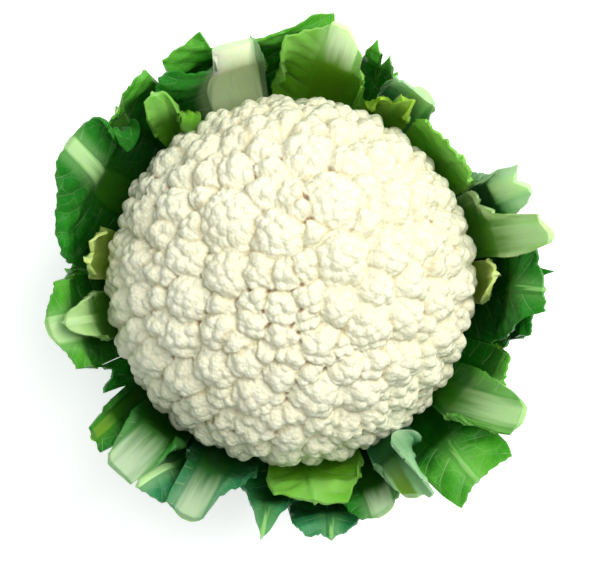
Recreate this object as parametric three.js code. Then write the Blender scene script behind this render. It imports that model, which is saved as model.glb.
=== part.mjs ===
// A cauliflower as picked and trimmed: a white head of florets on a cut stem, wrapped in leaves
// whose tops are cut short. Millimetres, +Z up, origin in the middle of the stem's cut face.
import * as THREE from 'three';
import { ConvexHull } from 'three/addons/math/ConvexHull.js';

const { clamp, lerp, smoothstep, degToRad, radToDeg } = THREE.MathUtils;

// ---------------------------------------------------------------- driving dimensions

const STEM = { height: 29.7, cutRadius: 24, topRadius: 29 };

// The head is an oval ball: one radius all round, a crown above its widest level, an underside below.
const HEAD = { middle: 80, radius: 86.5, crown: 65, underside: 54, seat: 30 };
// The plain oval under the florets, which shows only at the bottom of their deepest creases.
const CORE = { radius: 78, crown: 57, underside: 57 };

// Florets of the crown: [x, y, radius], seen from above. The smallest are near the tip, off centre.
const CROWN_FLORETS = [
  [-3, 3, 7], [6, 7, 6.5], [9, -9, 6.5], [-15, 4, 8], [-6, 23, 13.5], [22, -13, 8],
  [24, 12, 13.5], [-18, -20, 6.5], [-5, -27, 7], [-31, 3, 11.5], [13, -31, 10], [4, 34, 5.5],
  [0, -36, 6.5], [-27, -29, 7], [0, 41, 6.5], [-34, -24, 9], [42, -4, 7], [-30, 30, 16],
  [20, 39, 15.5], [38, -22, 11.5], [-23, -38, 9], [-13, 43, 8], [-5, -45, 7], [27, -42, 7],
  [-50, -9, 11], [49, 14, 11], [-52, 12, 9], [-36, -42, 10], [13, -56, 11.5], [56, -18, 10],
  [-18, -56, 11], [-27, 54, 9], [-54, -27, 9], [49, 39, 12.5], [-63, 5, 8], [8, 63, 13.5],
  [-14, 63, 7], [36, -54, 9], [-40, 52, 8], [29, 59, 10], [-63, -22, 8], [-63, 23, 6.5],
  [54, -40, 11], [-57, 36, 10], [65, 18, 10], [-52, -49, 10], [72, -9, 10], [-72, -9, 8],
  [-25, 69, 9], [9, 73, 10], [42, 61, 10], [-18, -72, 10], [-16, 73, 11], [-45, -60, 9],
  [63, 41, 10], [0, -76, 9], [24, 73, 10], [27, -72, 8], [40, -67, 8], [-3, 78, 11],
  [15, 81, 10],
];
const RIM_FLORETS = { count: 150, radius: 9.5, apart: 12.5, lowest: -0.68 };
// A floret carries one bud at its tip and a ring of more. `ring` says how many for which floret.
const BUDS = { sink: 0.56, radius: 0.52, lean: 52, ring: [[8, 0], [12, 4], [Infinity, 6]] };
// Corners of the head's mesh, as directions from its middle, and the least spacing of each kind.
const HEAD_MESH = { tips: 0.04, creases: 0.03, slopes: 0.036, slopeAt: 0.55 };
// Rings of corners where the head meets the stem: how many, how high, and what stays clear above.
const SEAT = { around: 20, lifts: [0, 0.16], turn: 3, clear: 0.22 };
// The walk from a direction down into a crease: first and last step, and how fast steps shrink.
const WALK = { first: 0.03, last: 0.008, shrink: 1.6, ways: 6 };

// Leaves follow one bowl-shaped sweep round the head, seen here in half-section: out from the stem,
// round under the head, up its side and outward again at the top. Each layer lies one step outside.
const SWEEP = { start: 27, height: 23.5, rise: 8, upright: 85, hug: 76.8, flare: 30 };
// The flare's slope in degrees, with two slow waves round the head: [height, waves, phase].
const FLARE_SLOPE = { middle: 34, waves: [[5, 2, 0.6], [4, 5, 1.9]] };
// Waves that all leaves share: [height, waves round the head, length along the sweep, phase].
const SHARED_WAVES = [[1.8, 9, 18, 0], [0.9, 14, -14, 1]];
const WAVES_RISE = [60, 130]; // lengths along the sweep between which the waves grow to full height
const LAYER_STEP = 7.5;
const BLADE = { base: 1.5, end: 1.2 };
const RIB_DEPTH = { base: 4.2, end: 2.6 };
const OUTERMOST = 2;
const OUTERMOST_RIB = 1.5; // ribs stand out further where no leaf lies outside them
const RIB_RAISE = 0.5;
const RIB_FOOT = 0.75; // share of a leaf's foot that the rib takes up
const RIB_NARROWS = 1.6; // how fast a rib narrows from its foot to its end width
const FOOT_HALF = 14; // widest half foot of a leaf, in degrees of bearing
const GAP = 0.4;
// Rows of a leaf's grid. Up to the widest level they run level; above it they fan out to the cut edge.
const WIDEST = 0.55;
const ROWS = [0, 0.14, 0.28, 0.42, WIDEST, 0.65, 0.75, 0.84, 0.92, 1];
const BELOW_CUT = 0.9; // the widest level's share of the length to the lowest cut
const BLADE_CELL = 13;
const RIB_CELLS = 4;
const LEAST_CELL = 1.3;
const BLADE_INSET = 1; // degrees of blade left beside a rib, however broad
const ROLL_RANGE = [0.6, 0.92]; // how far up a leaf a roll begins, and where it is complete
const ROLL_CELLS = 4;

// rib: [bearing at the stem, bearing at the cut end, width at the cut end]
// sides: bearings of the two side edges at the leaf's widest
// edge: the cut or torn upper edge, [bearing, distance from the stem's axis] point by point
// curl: how far the two upper corners stand out (+) or lean in towards the head (-)
// roll: for each side that rolls in over the leaf, the width of the roll and its turn in degrees
// lean: how far the cut end leans in over the head
// Bearings are degrees anticlockwise from +X, seen from above. Layer 0 is against the head.
const LEAVES = [
  {
    name: 'leaf_01', layer: 1, rib: [107, 104.3, 20], sides: [97.2, 132.5], curl: [-1, 2],
    edge: [[96.6, 99], [98, 109.5], [99, 110.5], [109, 110.5], [110, 102], [116, 103.5], [119, 107],
      [123, 107], [128, 98.5]],
  },
  {
    name: 'leaf_02', layer: 2, rib: [101, 99, 4], sides: [76, 121.8], curl: [3, 2],
    edge: [[78, 100], [79.5, 109], [80.7, 119.5], [85, 119], [91, 111], [98, 109.5], [104, 111],
      [109, 111.5], [110.2, 119.5], [113, 117], [117, 114.5], [120.5, 112.5], [121.5, 105]],
  },
  {
    name: 'leaf_03', layer: 1, rib: [80, 77.5, 14.4], sides: [66, 95.8], curl: [-1, 1],
    edge: [[67, 88], [69, 99], [71.8, 102], [72.5, 106.5], [74, 109.5], [77, 115], [81, 116.5],
      [82, 114.5], [91, 108.5], [95, 100]], roll: [[9, 140], [8, 130]],
  },
  {
    name: 'leaf_04', layer: 2, rib: [60, 63, 3], sides: [46, 74.5], curl: [0, 4],
    edge: [[47, 88], [52, 95], [60, 102.5], [64, 103.5], [65, 108.5], [66.3, 111], [67.5, 103.5],
      [68.5, 111], [70.4, 115], [71.8, 108.5], [73, 101]],
  },
  {
    name: 'leaf_05', layer: 1, rib: [56, 54.5, 11], sides: [46.5, 64.8], curl: [1, 0],
    edge: [[49.3, 95.5], [50.6, 101.5], [53, 101.5], [58, 102], [63, 104], [64.5, 96.5]],
  },
  {
    name: 'leaf_06', layer: 0, rib: [61, 59, 4], sides: [53.5, 67.5], curl: [-2, -1],
    edge: [[53.6, 94.5], [56, 98], [58, 95], [60.5, 92], [64, 93], [67, 91]],
    roll: [[5, 120], [6, 150]],
  },
  {
    name: 'leaf_07', layer: 0, rib: [40, 36, 4], sides: [27.5, 52.3], curl: [-1, -1.5],
    edge: [[29, 94], [31, 95.5], [36, 94.5], [43, 94], [47, 94], [50, 94], [52, 92]],
  },
  {
    name: 'leaf_08', layer: 1, rib: [24, 23, 10], sides: [14.5, 33], curl: [1, 0],
    edge: [[16, 98], [17, 106.5], [18.2, 112], [20, 115], [21.5, 115.5], [24, 111], [27.3, 115.5],
      [28.4, 107], [30.5, 94]], roll: [[0, 0], [6, 170]],
  },
  {
    name: 'leaf_09', layer: 0, rib: [12, 10.5, 12], sides: [7, 27], curl: [0, 0],
    edge: [[6.3, 100], [6.8, 110], [7.6, 116], [9, 117.5], [10.5, 117.5], [13.2, 114.5], [15.2, 114],
      [16.2, 106], [18.5, 96], [22, 93], [26.5, 92]],
  },
  {
    name: 'leaf_10', layer: 1, rib: [-1, -2, 4], sides: [-17, 13.5], curl: [2, 0],
    edge: [[-16, 98], [-12.5, 102.5], [-10, 105], [-8, 109.5], [-6.8, 114.5], [-3, 113],
      [1, 112.5], [4, 110.5], [8, 110], [12, 98.5]],
  },
  {
    name: 'leaf_11', layer: 2, rib: [-7, -5.5, 4], sides: [-22, 9], curl: [2, 3],
    edge: [[-20, 98], [-15, 104], [-13, 110.5], [-9, 110.5], [-6.5, 112.5], [0, 108.5],
      [2.2, 117.5], [3.4, 109.5], [8, 98]],
  },
  {
    name: 'leaf_12', layer: 1, rib: [-26, -26, 4], sides: [-35, -17.7], curl: [2, -1],
    edge: [[-34, 99], [-32, 109], [-31, 110.5], [-29, 107], [-26, 105.5], [-19, 105], [-17.7, 98]],
  },
  {
    name: 'leaf_13', layer: 0, rib: [-37.5, -30.5, 12], sides: [-41.5, -25], curl: [0, 0],
    edge: [[-38, 98], [-36.3, 113], [-35, 118.5], [-32, 119.5], [-28.5, 118.5], [-26.8, 113.5],
      [-25.3, 97]],
  },
  {
    name: 'leaf_14', layer: 1, rib: [-46, -47, 4], sides: [-56, -36], curl: [3, 2],
    edge: [[-55.8, 108], [-54.8, 117.5], [-53.2, 126], [-51, 124.5], [-48, 122.5], [-45, 122.5],
      [-40, 123.5], [-38.3, 124.5], [-36.7, 119], [-36.1, 108]],
  },
  {
    name: 'leaf_15', layer: 0, rib: [-62, -61, 8], sides: [-66, -50.5], curl: [0, 0],
    edge: [[-64.5, 93], [-63.5, 104], [-62.5, 108.5], [-58, 113], [-57.5, 115], [-54.5, 116],
      [-53, 111], [-51.5, 96]], roll: [[0, 0], [16, 160]],
  },
  {
    name: 'leaf_16', layer: 1, rib: [-67, -68, 12], sides: [-79, -57], curl: [0, 1],
    edge: [[-78, 98], [-76, 106], [-73.5, 111], [-70, 111.5], [-66, 109.5], [-63.5, 107],
      [-58.5, 97]],
  },
  {
    name: 'leaf_17', layer: 0, rib: [-84, -84, 4], sides: [-97, -68], curl: [-1, -1],
    edge: [[-96.5, 92], [-94.5, 96], [-90, 97.5], [-84, 99.5], [-79, 101.5], [-75.5, 101.5],
      [-73.5, 97], [-70.5, 91]],
  },
  {
    name: 'leaf_18', layer: 2, rib: [-78, -81, 4], sides: [-94, -62], curl: [2, 1],
    edge: [[-92, 98], [-90, 108], [-88, 113], [-85.5, 115], [-83.3, 114], [-82, 116.5],
      [-80, 116], [-76.5, 114.5], [-72, 106], [-66, 98]],
  },
  {
    name: 'leaf_19', layer: 1, rib: [-94, -96.5, 3.5], sides: [-108, -81], curl: [-1, 1],
    edge: [[-107, 94], [-102, 97.5], [-99, 105.5], [-96.7, 117], [-95.3, 115], [-93, 106],
      [-90, 100], [-86, 97], [-82, 93]],
  },
  {
    name: 'leaf_20', layer: 0, rib: [-111.5, -114, 12], sides: [-121, -100], curl: [0, 0],
    edge: [[-120.5, 92], [-120, 107], [-119.5, 111.5], [-118, 112.5], [-115, 114], [-112.5, 114],
      [-110.3, 112.5], [-108.6, 101], [-103, 91.5]],
  },
  {
    name: 'leaf_21', layer: 1, rib: [-118, -127, 3.5], sides: [-135, -110], curl: [0, 1],
    edge: [[-134, 100], [-130, 107], [-127.5, 113], [-126.5, 115.5], [-123.5, 115], [-120, 113.5],
      [-117, 110], [-111, 98.5]],
  },
  {
    name: 'leaf_22', layer: 0, rib: [-131, -132.2, 16], sides: [-141, -123], curl: [0, 0],
    edge: [[-140.5, 93], [-138.5, 103], [-136.7, 112], [-135, 114.5], [-130, 114.5], [-128, 115],
      [-127, 108], [-124, 92]], roll: [[0, 0], [9, 150]],
  },
  {
    name: 'leaf_23', layer: 1, rib: [-144, -142, 6], sides: [-156, -136.5], curl: [0, 0],
    edge: [[-156, 98], [-154, 91.5], [-151.5, 93], [-150, 98], [-149, 98], [-147.7, 90.5],
      [-146.3, 90.5], [-145, 104], [-144, 111], [-141, 113], [-138, 115], [-137, 107]],
  },
  {
    name: 'leaf_24', layer: 1, rib: [-168, -168, 14], sides: [-182, -156.2], curl: [1, 1],
    edge: [[-181, 99], [-180, 107], [-177, 108], [-174, 111.3], [-170, 111.3], [-167, 110],
      [-163, 106.5], [-160, 104], [-157.5, 103.5], [-156.4, 98]],
  },
  {
    name: 'leaf_25', layer: 2, rib: [-182, -183, 4], sides: [-197, -168], curl: [1, 0],
    edge: [[-196, 97], [-192, 102], [-189, 103], [-187.3, 104.5], [-186, 100], [-183.4, 99.5],
      [-181, 103], [-176, 101], [-170, 96]],
  },
  {
    name: 'leaf_26', layer: 1, rib: [-206, -212, 8], sides: [-225.5, -184.5], curl: [1, 1],
    edge: [[-224.5, 101], [-223.5, 111], [-222, 115], [-219, 116], [-213, 117], [-207, 118],
      [-204, 115.5], [-200, 110.8], [-196, 107.5], [-189, 103.7], [-186, 101.5]],
    roll: [[11, 160], [0, 0]],
  },
  {
    name: 'leaf_27', layer: 2, rib: [-222, -225, 4], sides: [-236.3, -206], curl: [2, 0],
    edge: [[-236.2, 107], [-235.5, 114], [-228, 113.3], [-225.5, 107], [-220, 108.5], [-214, 104],
      [-208, 98]],
  },
  {
    name: 'young_leaf_1', layer: 0, rib: [-231, -234, 4], sides: [-241, -227], curl: [0, 0],
    edge: [[-240, 91], [-238.5, 97], [-236.5, 101], [-233, 103.5], [-230.5, 103], [-228.5, 97],
      [-227.5, 91]], roll: [[9, 190], [0, 0]],
  },
  {
    name: 'young_leaf_2', layer: 0, rib: [-169, -169.5, 4], sides: [-177, -162], curl: [-2, -2],
    edge: [[-175.5, 91.5], [-174, 96], [-172.5, 100], [-171, 102.5], [-169.5, 103.5], [-168, 102.5],
      [-166.6, 100], [-165, 96], [-163.6, 91.5]],
  },
  {
    name: 'young_leaf_3', layer: 0, rib: [-187, -186, 4], sides: [-196, -180.5], curl: [-1, -1],
    edge: [[-194.5, 92], [-191, 94], [-188, 93], [-185, 94.5], [-182, 92]], lean: 3.5,
  },
  {
    name: 'young_leaf_4', layer: 0, rib: [2, 2, 4], sides: [-7, 6.2], curl: [-1, -1],
    edge: [[-6, 91.5], [-3.5, 93.5], [0, 94.5], [3, 94.5], [5.8, 92.5]], lean: 3,
  },
];

const FINISHES = {
  curd: new THREE.MeshStandardMaterial({ color: 0xf0e8cf, roughness: 0.8 }),
  stem: new THREE.MeshStandardMaterial({ color: 0xdfe3bb, roughness: 0.6 }),
  leaf: new THREE.MeshStandardMaterial({ color: 0x5f8a45, roughness: 0.5 }),
  young_leaf: new THREE.MeshStandardMaterial({ color: 0xc2d67c, roughness: 0.5 }),
};

// ---------------------------------------------------------------- head

// A point of the head's outer shape below or above x, y, and the way it faces there.
function onCrown(x, y) {
  const up = Math.sqrt(Math.max(0, 1 - (x * x + y * y) / HEAD.radius ** 2));
  return new THREE.Vector3(x, y, up * HEAD.crown);
}

function facing(p) {
  const height = p.z > 0 ? HEAD.crown : HEAD.underside;
  return new THREE.Vector3(p.x / HEAD.radius ** 2, p.y / HEAD.radius ** 2, p.z / height ** 2).normalize();
}

// Distance from the head's middle to an oval, HEAD or CORE, along a direction.
function ovalReach(dir, { radius, crown, underside }) {
  const height = dir.z > 0 ? crown : underside;
  return 1 / Math.sqrt((dir.x ** 2 + dir.y ** 2) / radius ** 2 + dir.z ** 2 / height ** 2);
}

// Directions spread evenly over a ball, on a spiral from bottom to top.
function spiral(count) {
  const turn = Math.PI * (3 - Math.sqrt(5));
  return Array.from({ length: count }, (_, i) => {
    const z = (2 * i + 1) / count - 1;
    const across = Math.sqrt(1 - z * z);
    return new THREE.Vector3(across * Math.cos(turn * i), across * Math.sin(turn * i), z);
  });
}

// Each floret is a ball under the outer shape. The rim and underside are filled by rule, wherever
// no floret of the crown stands already.
function placeFlorets() {
  const tops = CROWN_FLORETS.map(([x, y, radius]) => ({ top: onCrown(x, y), radius }));
  for (const dir of spiral(RIM_FLORETS.count)) {
    if (dir.z < RIM_FLORETS.lowest) continue;
    const top = dir.clone().multiplyScalar(ovalReach(dir, HEAD));
    const free = tops.every((other) => other.top.distanceTo(top) > RIM_FLORETS.apart + other.radius / 3);
    if (free) tops.push({ top, radius: RIM_FLORETS.radius });
  }
  return tops.map(({ top, radius }) => {
    const out = facing(top);
    return { out, radius, centre: top.addScaledVector(out, -radius * (BUDS.sink + BUDS.radius)) };
  });
}

// A small floret is a single bud.
function budsOf({ centre, out, radius }, order) {
  const [, ring] = BUDS.ring.find(([below]) => radius < below);
  if (ring === 0) return [{ centre, radius: radius * (BUDS.sink + BUDS.radius) }];
  const side = new THREE.Vector3(0, 0, 1).cross(out);
  if (side.lengthSq() < 0.01) side.set(1, 0, 0);
  side.normalize();
  const tilted = out.clone().applyAxisAngle(side, degToRad(BUDS.lean));
  const ways = [out];
  for (let i = 0; i < ring; i++) {
    ways.push(tilted.clone().applyAxisAngle(out, (2 * Math.PI * i) / ring + order));
  }
  return ways.map((way) => ({
    centre: centre.clone().addScaledVector(way, radius * BUDS.sink),
    radius: radius * BUDS.radius,
  }));
}

// How far the head reaches from its middle along a direction.
function makeReach(balls) {
  const solid = balls.map(({ centre, radius }) => ({ centre, inside: radius ** 2 - centre.lengthSq() }));
  return (dir) => {
    let far = ovalReach(dir, CORE);
    for (const { centre, inside } of solid) {
      const along = centre.dot(dir);
      const square = inside + along * along;
      if (along > 0 && square > 0) far = Math.max(far, along + Math.sqrt(square));
    }
    const floor = HEAD.middle - HEAD.seat;
    return dir.z < 0 ? Math.min(far, floor / -dir.z) : far;
  };
}

// Walks from a direction down into the nearest crease.
function sinkIntoCrease(dir, reach) {
  let best = dir.clone();
  let lowest = reach(best);
  for (let step = WALK.first; step > WALK.last; step /= WALK.shrink) {
    const side = new THREE.Vector3(-best.y, best.x, 0.01).normalize();
    const ahead = side.clone().cross(best);
    for (let i = 0; i < WALK.ways; i++) {
      const a = (2 * Math.PI * i) / WALK.ways;
      const next = best.clone();
      next.addScaledVector(side, step * Math.cos(a)).addScaledVector(ahead, step * Math.sin(a));
      next.normalize();
      const there = reach(next);
      if (there < lowest) {
        lowest = there;
        best = next;
      }
    }
  }
  return best;
}

function hullFaces(dirs) {
  const index = new Map(dirs.map((dir, i) => [dir, i]));
  return new ConvexHull().setFromPoints(dirs).faces.map(({ edge }) => [
    index.get(edge.head().point), index.get(edge.next.head().point), index.get(edge.prev.head().point),
  ]);
}

// The head as one closed mesh: its corners lie on bud tips, round each bud and along the creases.
function buildCurd() {
  const florets = placeFlorets();
  const buds = florets.flatMap(budsOf);
  const reach = makeReach([...florets, ...buds]);
  const depth = HEAD.middle - HEAD.seat;
  const seatRadius = CORE.radius * Math.sqrt(1 - (depth / CORE.underside) ** 2);
  const seatEdge = Math.atan2(depth, seatRadius);
  const dirs = [new THREE.Vector3(0, 0, -1)];
  for (const lift of SEAT.lifts) {
    for (let i = 0; i < SEAT.around; i++) {
      const a = ((i + lift * SEAT.turn) * 2 * Math.PI) / SEAT.around;
      const level = Math.cos(lift - seatEdge);
      const up = Math.sin(lift - seatEdge);
      dirs.push(new THREE.Vector3(level * Math.cos(a), level * Math.sin(a), up));
    }
  }
  const lowest = Math.sin(SEAT.clear - seatEdge);
  const add = (dir, apart) => {
    if (dir.z > lowest && dirs.every((other) => other.distanceTo(dir) > apart)) dirs.push(dir);
  };
  const tips = buds.map(({ centre }) => centre.clone().normalize());
  tips.forEach((tip) => add(tip, HEAD_MESH.tips));
  const cells = hullFaces(tips).map((face) => face.map((i) => tips[i]));
  for (const [a, b, c] of cells) {
    add(sinkIntoCrease(a.clone().add(b).add(c).normalize(), reach), HEAD_MESH.creases);
  }
  for (const [a, b] of cells) {
    add(sinkIntoCrease(a.clone().add(b).normalize(), reach), HEAD_MESH.creases);
  }
  for (const corners of cells) {
    for (const tip of corners) {
      const middle = corners[0].clone().add(corners[1]).add(corners[2]).normalize();
      add(tip.clone().lerp(middle, HEAD_MESH.slopeAt).normalize(), HEAD_MESH.slopes);
    }
  }
  const positions = dirs.flatMap((dir) => {
    const far = reach(dir);
    return [dir.x * far, dir.y * far, dir.z * far + HEAD.middle];
  });
  return meshGeometry(positions, hullFaces(dirs).flat());
}

// ---------------------------------------------------------------- stem

function stemRadius(z) {
  return lerp(STEM.cutRadius, STEM.topRadius, z / STEM.height);
}

function buildStem() {
  const around = 40;
  const levels = [0, 0.5, 1].map((k) => k * STEM.height);
  const positions = [];
  const faces = [];
  for (const z of levels) {
    for (let i = 0; i < around; i++) {
      const a = (2 * Math.PI * i) / around;
      positions.push(stemRadius(z) * Math.cos(a), stemRadius(z) * Math.sin(a), z);
    }
  }
  for (let row = 0; row + 1 < levels.length; row++) {
    for (let i = 0; i < around; i++) {
      const a = row * around + i;
      const b = row * around + ((i + 1) % around);
      faces.push(a, b, b + around, a, b + around, a + around);
    }
  }
  const bottom = positions.length / 3;
  const top = bottom + 1;
  positions.push(0, 0, 0, 0, 0, STEM.height);
  const last = (levels.length - 1) * around;
  for (let i = 0; i < around; i++) {
    const next = (i + 1) % around;
    faces.push(bottom, next, i, top, last + i, last + next);
  }
  return meshGeometry(positions, faces);
}

// ---------------------------------------------------------------- leaves

// The sweep's slope at its outer end changes slowly round the head.
function endSlope(bearing) {
  const a = degToRad(bearing);
  const { middle, waves } = FLARE_SLOPE;
  return waves.reduce((slope, [high, count, phase]) => slope + high * Math.sin(count * a + phase), middle);
}

// A point on the sweep: `along` is the length from its start, `out` the distance outside it.
function onSweep(bearing, along, out) {
  const rise = degToRad(SWEEP.rise);
  const upright = degToRad(SWEEP.upright);
  const end = degToRad(endSlope(bearing));
  let r = SWEEP.start;
  let z = SWEEP.height;
  let slope = rise;
  const hugLength = SWEEP.hug * (upright - rise);
  if (along < 0) {
    r += along * Math.cos(rise);
    z += along * Math.sin(rise);
  } else {
    slope = rise + Math.min(along, hugLength) / SWEEP.hug;
    r += SWEEP.hug * (Math.sin(slope) - Math.sin(rise));
    z += SWEEP.hug * (Math.cos(rise) - Math.cos(slope));
  }
  const past = along - hugLength;
  if (past > 0) {
    slope = upright - Math.min(past, SWEEP.flare * (upright - end)) / SWEEP.flare;
    r += SWEEP.flare * (Math.sin(upright) - Math.sin(slope));
    z += SWEEP.flare * (Math.cos(slope) - Math.cos(upright));
    const straight = Math.max(0, past - SWEEP.flare * (upright - end));
    r += straight * Math.cos(slope);
    z += straight * Math.sin(slope);
  }
  const a = degToRad(bearing);
  r += out * Math.sin(slope);
  return new THREE.Vector3(r * Math.cos(a), r * Math.sin(a), z - out * Math.cos(slope));
}

// Length along the sweep at which a layer is `reach` from the axis.
function lengthAt(bearing, reach, out) {
  let low = -20;
  let high = 220;
  for (let i = 0; i < 40; i++) {
    const middle = (low + high) / 2;
    const p = onSweep(bearing, middle, out);
    if (Math.hypot(p.x, p.y) < reach) low = middle;
    else high = middle;
  }
  return low;
}

// All leaves share these waves, so that neighbours nest and never cross.
function sharedWave(bearing, along) {
  const a = degToRad(bearing);
  const waves = SHARED_WAVES.map(([high, count, length, phase]) => (
    high * Math.sin(count * a + along / length + phase)
  ));
  return smoothstep(along, ...WAVES_RISE) * (waves[0] + waves[1]);
}

function edgeReach(edge, bearing) {
  const next = Math.max(1, edge.findIndex(([b]) => b >= bearing - 1e-6));
  const [b0, r0] = edge[next - 1];
  const [b1, r1] = edge[next];
  return lerp(r0, r1, clamp((bearing - b0) / (b1 - b0), 0, 1));
}

// Columns of a leaf's grid: `zone` is 0 for the low blade, 1 for the rib, 2 for the high blade, and
// `part` is how far across that zone. The last rows add a column at every corner of the cut edge.
function columnsOf(leaf) {
  const last = leaf.edge[leaf.edge.length - 1];
  const limits = [leaf.edge[0][0], ...ribEdges(leaf, 1, last[1]), last[0]];
  const widest = [leaf.sides[0], ...ribEdges(leaf, 0.6, last[1]), leaf.sides[1]];
  const columns = [];
  for (let zone = 0; zone < 3; zone++) {
    const bearings = Math.max(limits[zone + 1] - limits[zone], widest[zone + 1] - widest[zone]);
    const bladeCells = Math.max(1, Math.round((degToRad(bearings) * last[1]) / BLADE_CELL));
    const cells = zone === 1 ? RIB_CELLS : bladeCells;
    const first = zone === 0 ? 0 : 1;
    for (let i = first; i <= cells; i++) columns.push({ zone, part: i / cells, coarse: true });
  }
  for (const [side, zone] of [[0, 0], [1, 2]]) {
    const [width] = leaf.roll?.[side] ?? [0];
    const blade = degToRad(limits[zone + 1] - limits[zone]) * last[1];
    for (let i = 0; i < ROLL_CELLS && width > 0; i++) {
      const fromRib = 1 - Math.min(1, width / blade) * (1 - i / ROLL_CELLS);
      const part = zone === 0 ? 1 - fromRib : fromRib;
      const near = columns.find((c) => c.zone === zone && Math.abs(c.part - part) * blade < LEAST_CELL);
      if (near === undefined) columns.push({ zone, part, coarse: true });
    }
  }
  for (const [bearing] of leaf.edge) {
    const zone = bearing < limits[1] ? 0 : bearing < limits[2] ? 1 : 2;
    const part = (bearing - limits[zone]) / (limits[zone + 1] - limits[zone]);
    const width = degToRad(limits[zone + 1] - limits[zone]) * last[1];
    const near = columns.find((c) => c.zone === zone && Math.abs(c.part - part) * width < LEAST_CELL);
    if (near === undefined) columns.push({ zone, part, coarse: false });
  }
  return columns.sort((a, b) => a.zone - b.zone || a.part - b.part);
}

// Half the width of a leaf's foot, as a bearing.
function footHalf({ rib, sides }) {
  return Math.min(FOOT_HALF, rib[0] - sides[0], sides[1] - rib[0]);
}

// Bearings of the rib's two edges, `v` of the way up the leaf at distance r from the axis.
function ribEdges({ rib, sides }, v, r) {
  const middle = lerp(rib[0], rib[1], v * v);
  const foot = RIB_FOOT * footHalf({ rib, sides });
  const half = lerp(foot, radToDeg(rib[2] / 2 / r), Math.min(1, v * RIB_NARROWS));
  return [middle - half, middle + half];
}

// Bearings of the two side edges, `v` of the way up the leaf.
function sideEdges({ rib, sides, edge }, v) {
  const foot = footHalf({ rib, sides });
  const ends = [edge[0][0], edge[edge.length - 1][0]];
  return [-1, 1].map((way, i) => {
    if (v < WIDEST) return lerp(rib[0] + way * foot, sides[i], Math.sin((Math.PI / 2) * (v / WIDEST)));
    return lerp(sides[i], ends[i], smoothstep(v, WIDEST, 1));
  });
}

// How a rolled side moves a point that lies `part` of the way over a blade from the rib: back
// towards the rib, in over the leaf, and the turn there.
function rollAt(leaf, side, part, bladeWidth, v) {
  const [width, turn] = leaf.roll?.[side] ?? [0, 0];
  const past = part * bladeWidth - Math.max(0, bladeWidth - width);
  const whole = degToRad(turn) * smoothstep(v, ...ROLL_RANGE);
  if (past <= 0 || whole < 0.01) return { back: 0, over: 0, turned: 0 };
  const radius = Math.min(width, bladeWidth) / whole;
  const turned = past / radius;
  return { back: past - radius * Math.sin(turned), over: radius * (1 - Math.cos(turned)), turned };
}

// Length along the sweep of a leaf's widest level, a little short of its lowest cut.
function widestLevel({ edge, layer }) {
  const cuts = edge.map(([bearing, reach]) => lengthAt(bearing, reach, layer * LAYER_STEP));
  return BELOW_CUT * Math.min(...cuts);
}

// One point of a leaf on its inner face and on its outer face.
function leafPoint(leaf, column, v) {
  const [low, high] = sideEdges(leaf, v);
  const layer = leaf.layer * LAYER_STEP;
  const guess = lerp(STEM.topRadius, leaf.edge[leaf.edge.length - 1][1], v);
  const [ribLow, ribHigh] = ribEdges(leaf, v, guess);
  const limits = [low, Math.max(ribLow, low + BLADE_INSET), Math.min(ribHigh, high - BLADE_INSET), high];
  const bearing = lerp(limits[column.zone], limits[column.zone + 1], column.part);
  const [endLow, endHigh] = sideEdges(leaf, 1);
  const endRib = ribEdges(leaf, 1, leaf.edge[leaf.edge.length - 1][1]);
  const endLimits = [endLow, ...endRib, endHigh];
  const endBearing = lerp(endLimits[column.zone], endLimits[column.zone + 1], column.part);
  const foot = lengthAt(bearing, stemRadius(SWEEP.height - layer) + BLADE.base / 2 + GAP, layer);
  const end = lengthAt(bearing, edgeReach(leaf.edge, endBearing), layer);
  const level = widestLevel(leaf);
  const along = v < WIDEST
    ? lerp(foot, level, v / WIDEST)
    : lerp(level, end, (v - WIDEST) / (1 - WIDEST));
  const across = column.zone === 1 ? 2 * column.part - 1 : 1;
  const depth = lerp(RIB_DEPTH.base, RIB_DEPTH.end, v) * (leaf.layer === OUTERMOST ? OUTERMOST_RIB : 1);
  const bulge = depth * Math.sqrt(Math.max(0, 1 - across * across));
  const raise = RIB_RAISE * (1 - across * across) * v;
  const fromLow = column.zone === 0 ? 1 - column.part : 0;
  const fromHigh = column.zone === 2 ? column.part : 0;
  const curl = (leaf.curl[0] * fromLow ** 2 + leaf.curl[1] * fromHigh ** 2) * v ** 4;
  const half = lerp(BLADE.base, BLADE.end, v) / 2;
  const away = column.zone - 1;
  const bladeWidth = degToRad(limits[column.zone + 1] - limits[column.zone]) * guess;
  const { back, over, turned } = away === 0
    ? { back: 0, over: 0, turned: 0 }
    : rollAt(leaf, away < 0 ? 0 : 1, fromLow + fromHigh, bladeWidth, v);
  const lean = (leaf.lean ?? 0) * v ** 4;
  const middle = layer + sharedWave(bearing, along) + curl - over - lean;
  const beside = (off) => bearing - (away * radToDeg(back - off * Math.sin(turned))) / guess;
  const inward = half + raise;
  const outward = half + bulge;
  return {
    inner: onSweep(beside(-inward), along, middle - inward * Math.cos(turned)),
    outer: onSweep(beside(outward), along, middle + outward * Math.cos(turned)),
  };
}

// Triangles between two rows of grid points whose columns need not match.
function stitch(rowA, rowB) {
  const faces = [];
  let a = 0;
  let b = 0;
  while (a + 1 < rowA.length || b + 1 < rowB.length) {
    const moreA = a + 1 < rowA.length;
    const takeA = b + 1 === rowB.length || (moreA && rowA[a + 1].place <= rowB[b + 1].place);
    faces.push([rowA[a].index, takeA ? rowA[a + 1].index : rowB[b + 1].index, rowB[b].index]);
    if (takeA) a++;
    else b++;
  }
  return faces;
}

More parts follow.
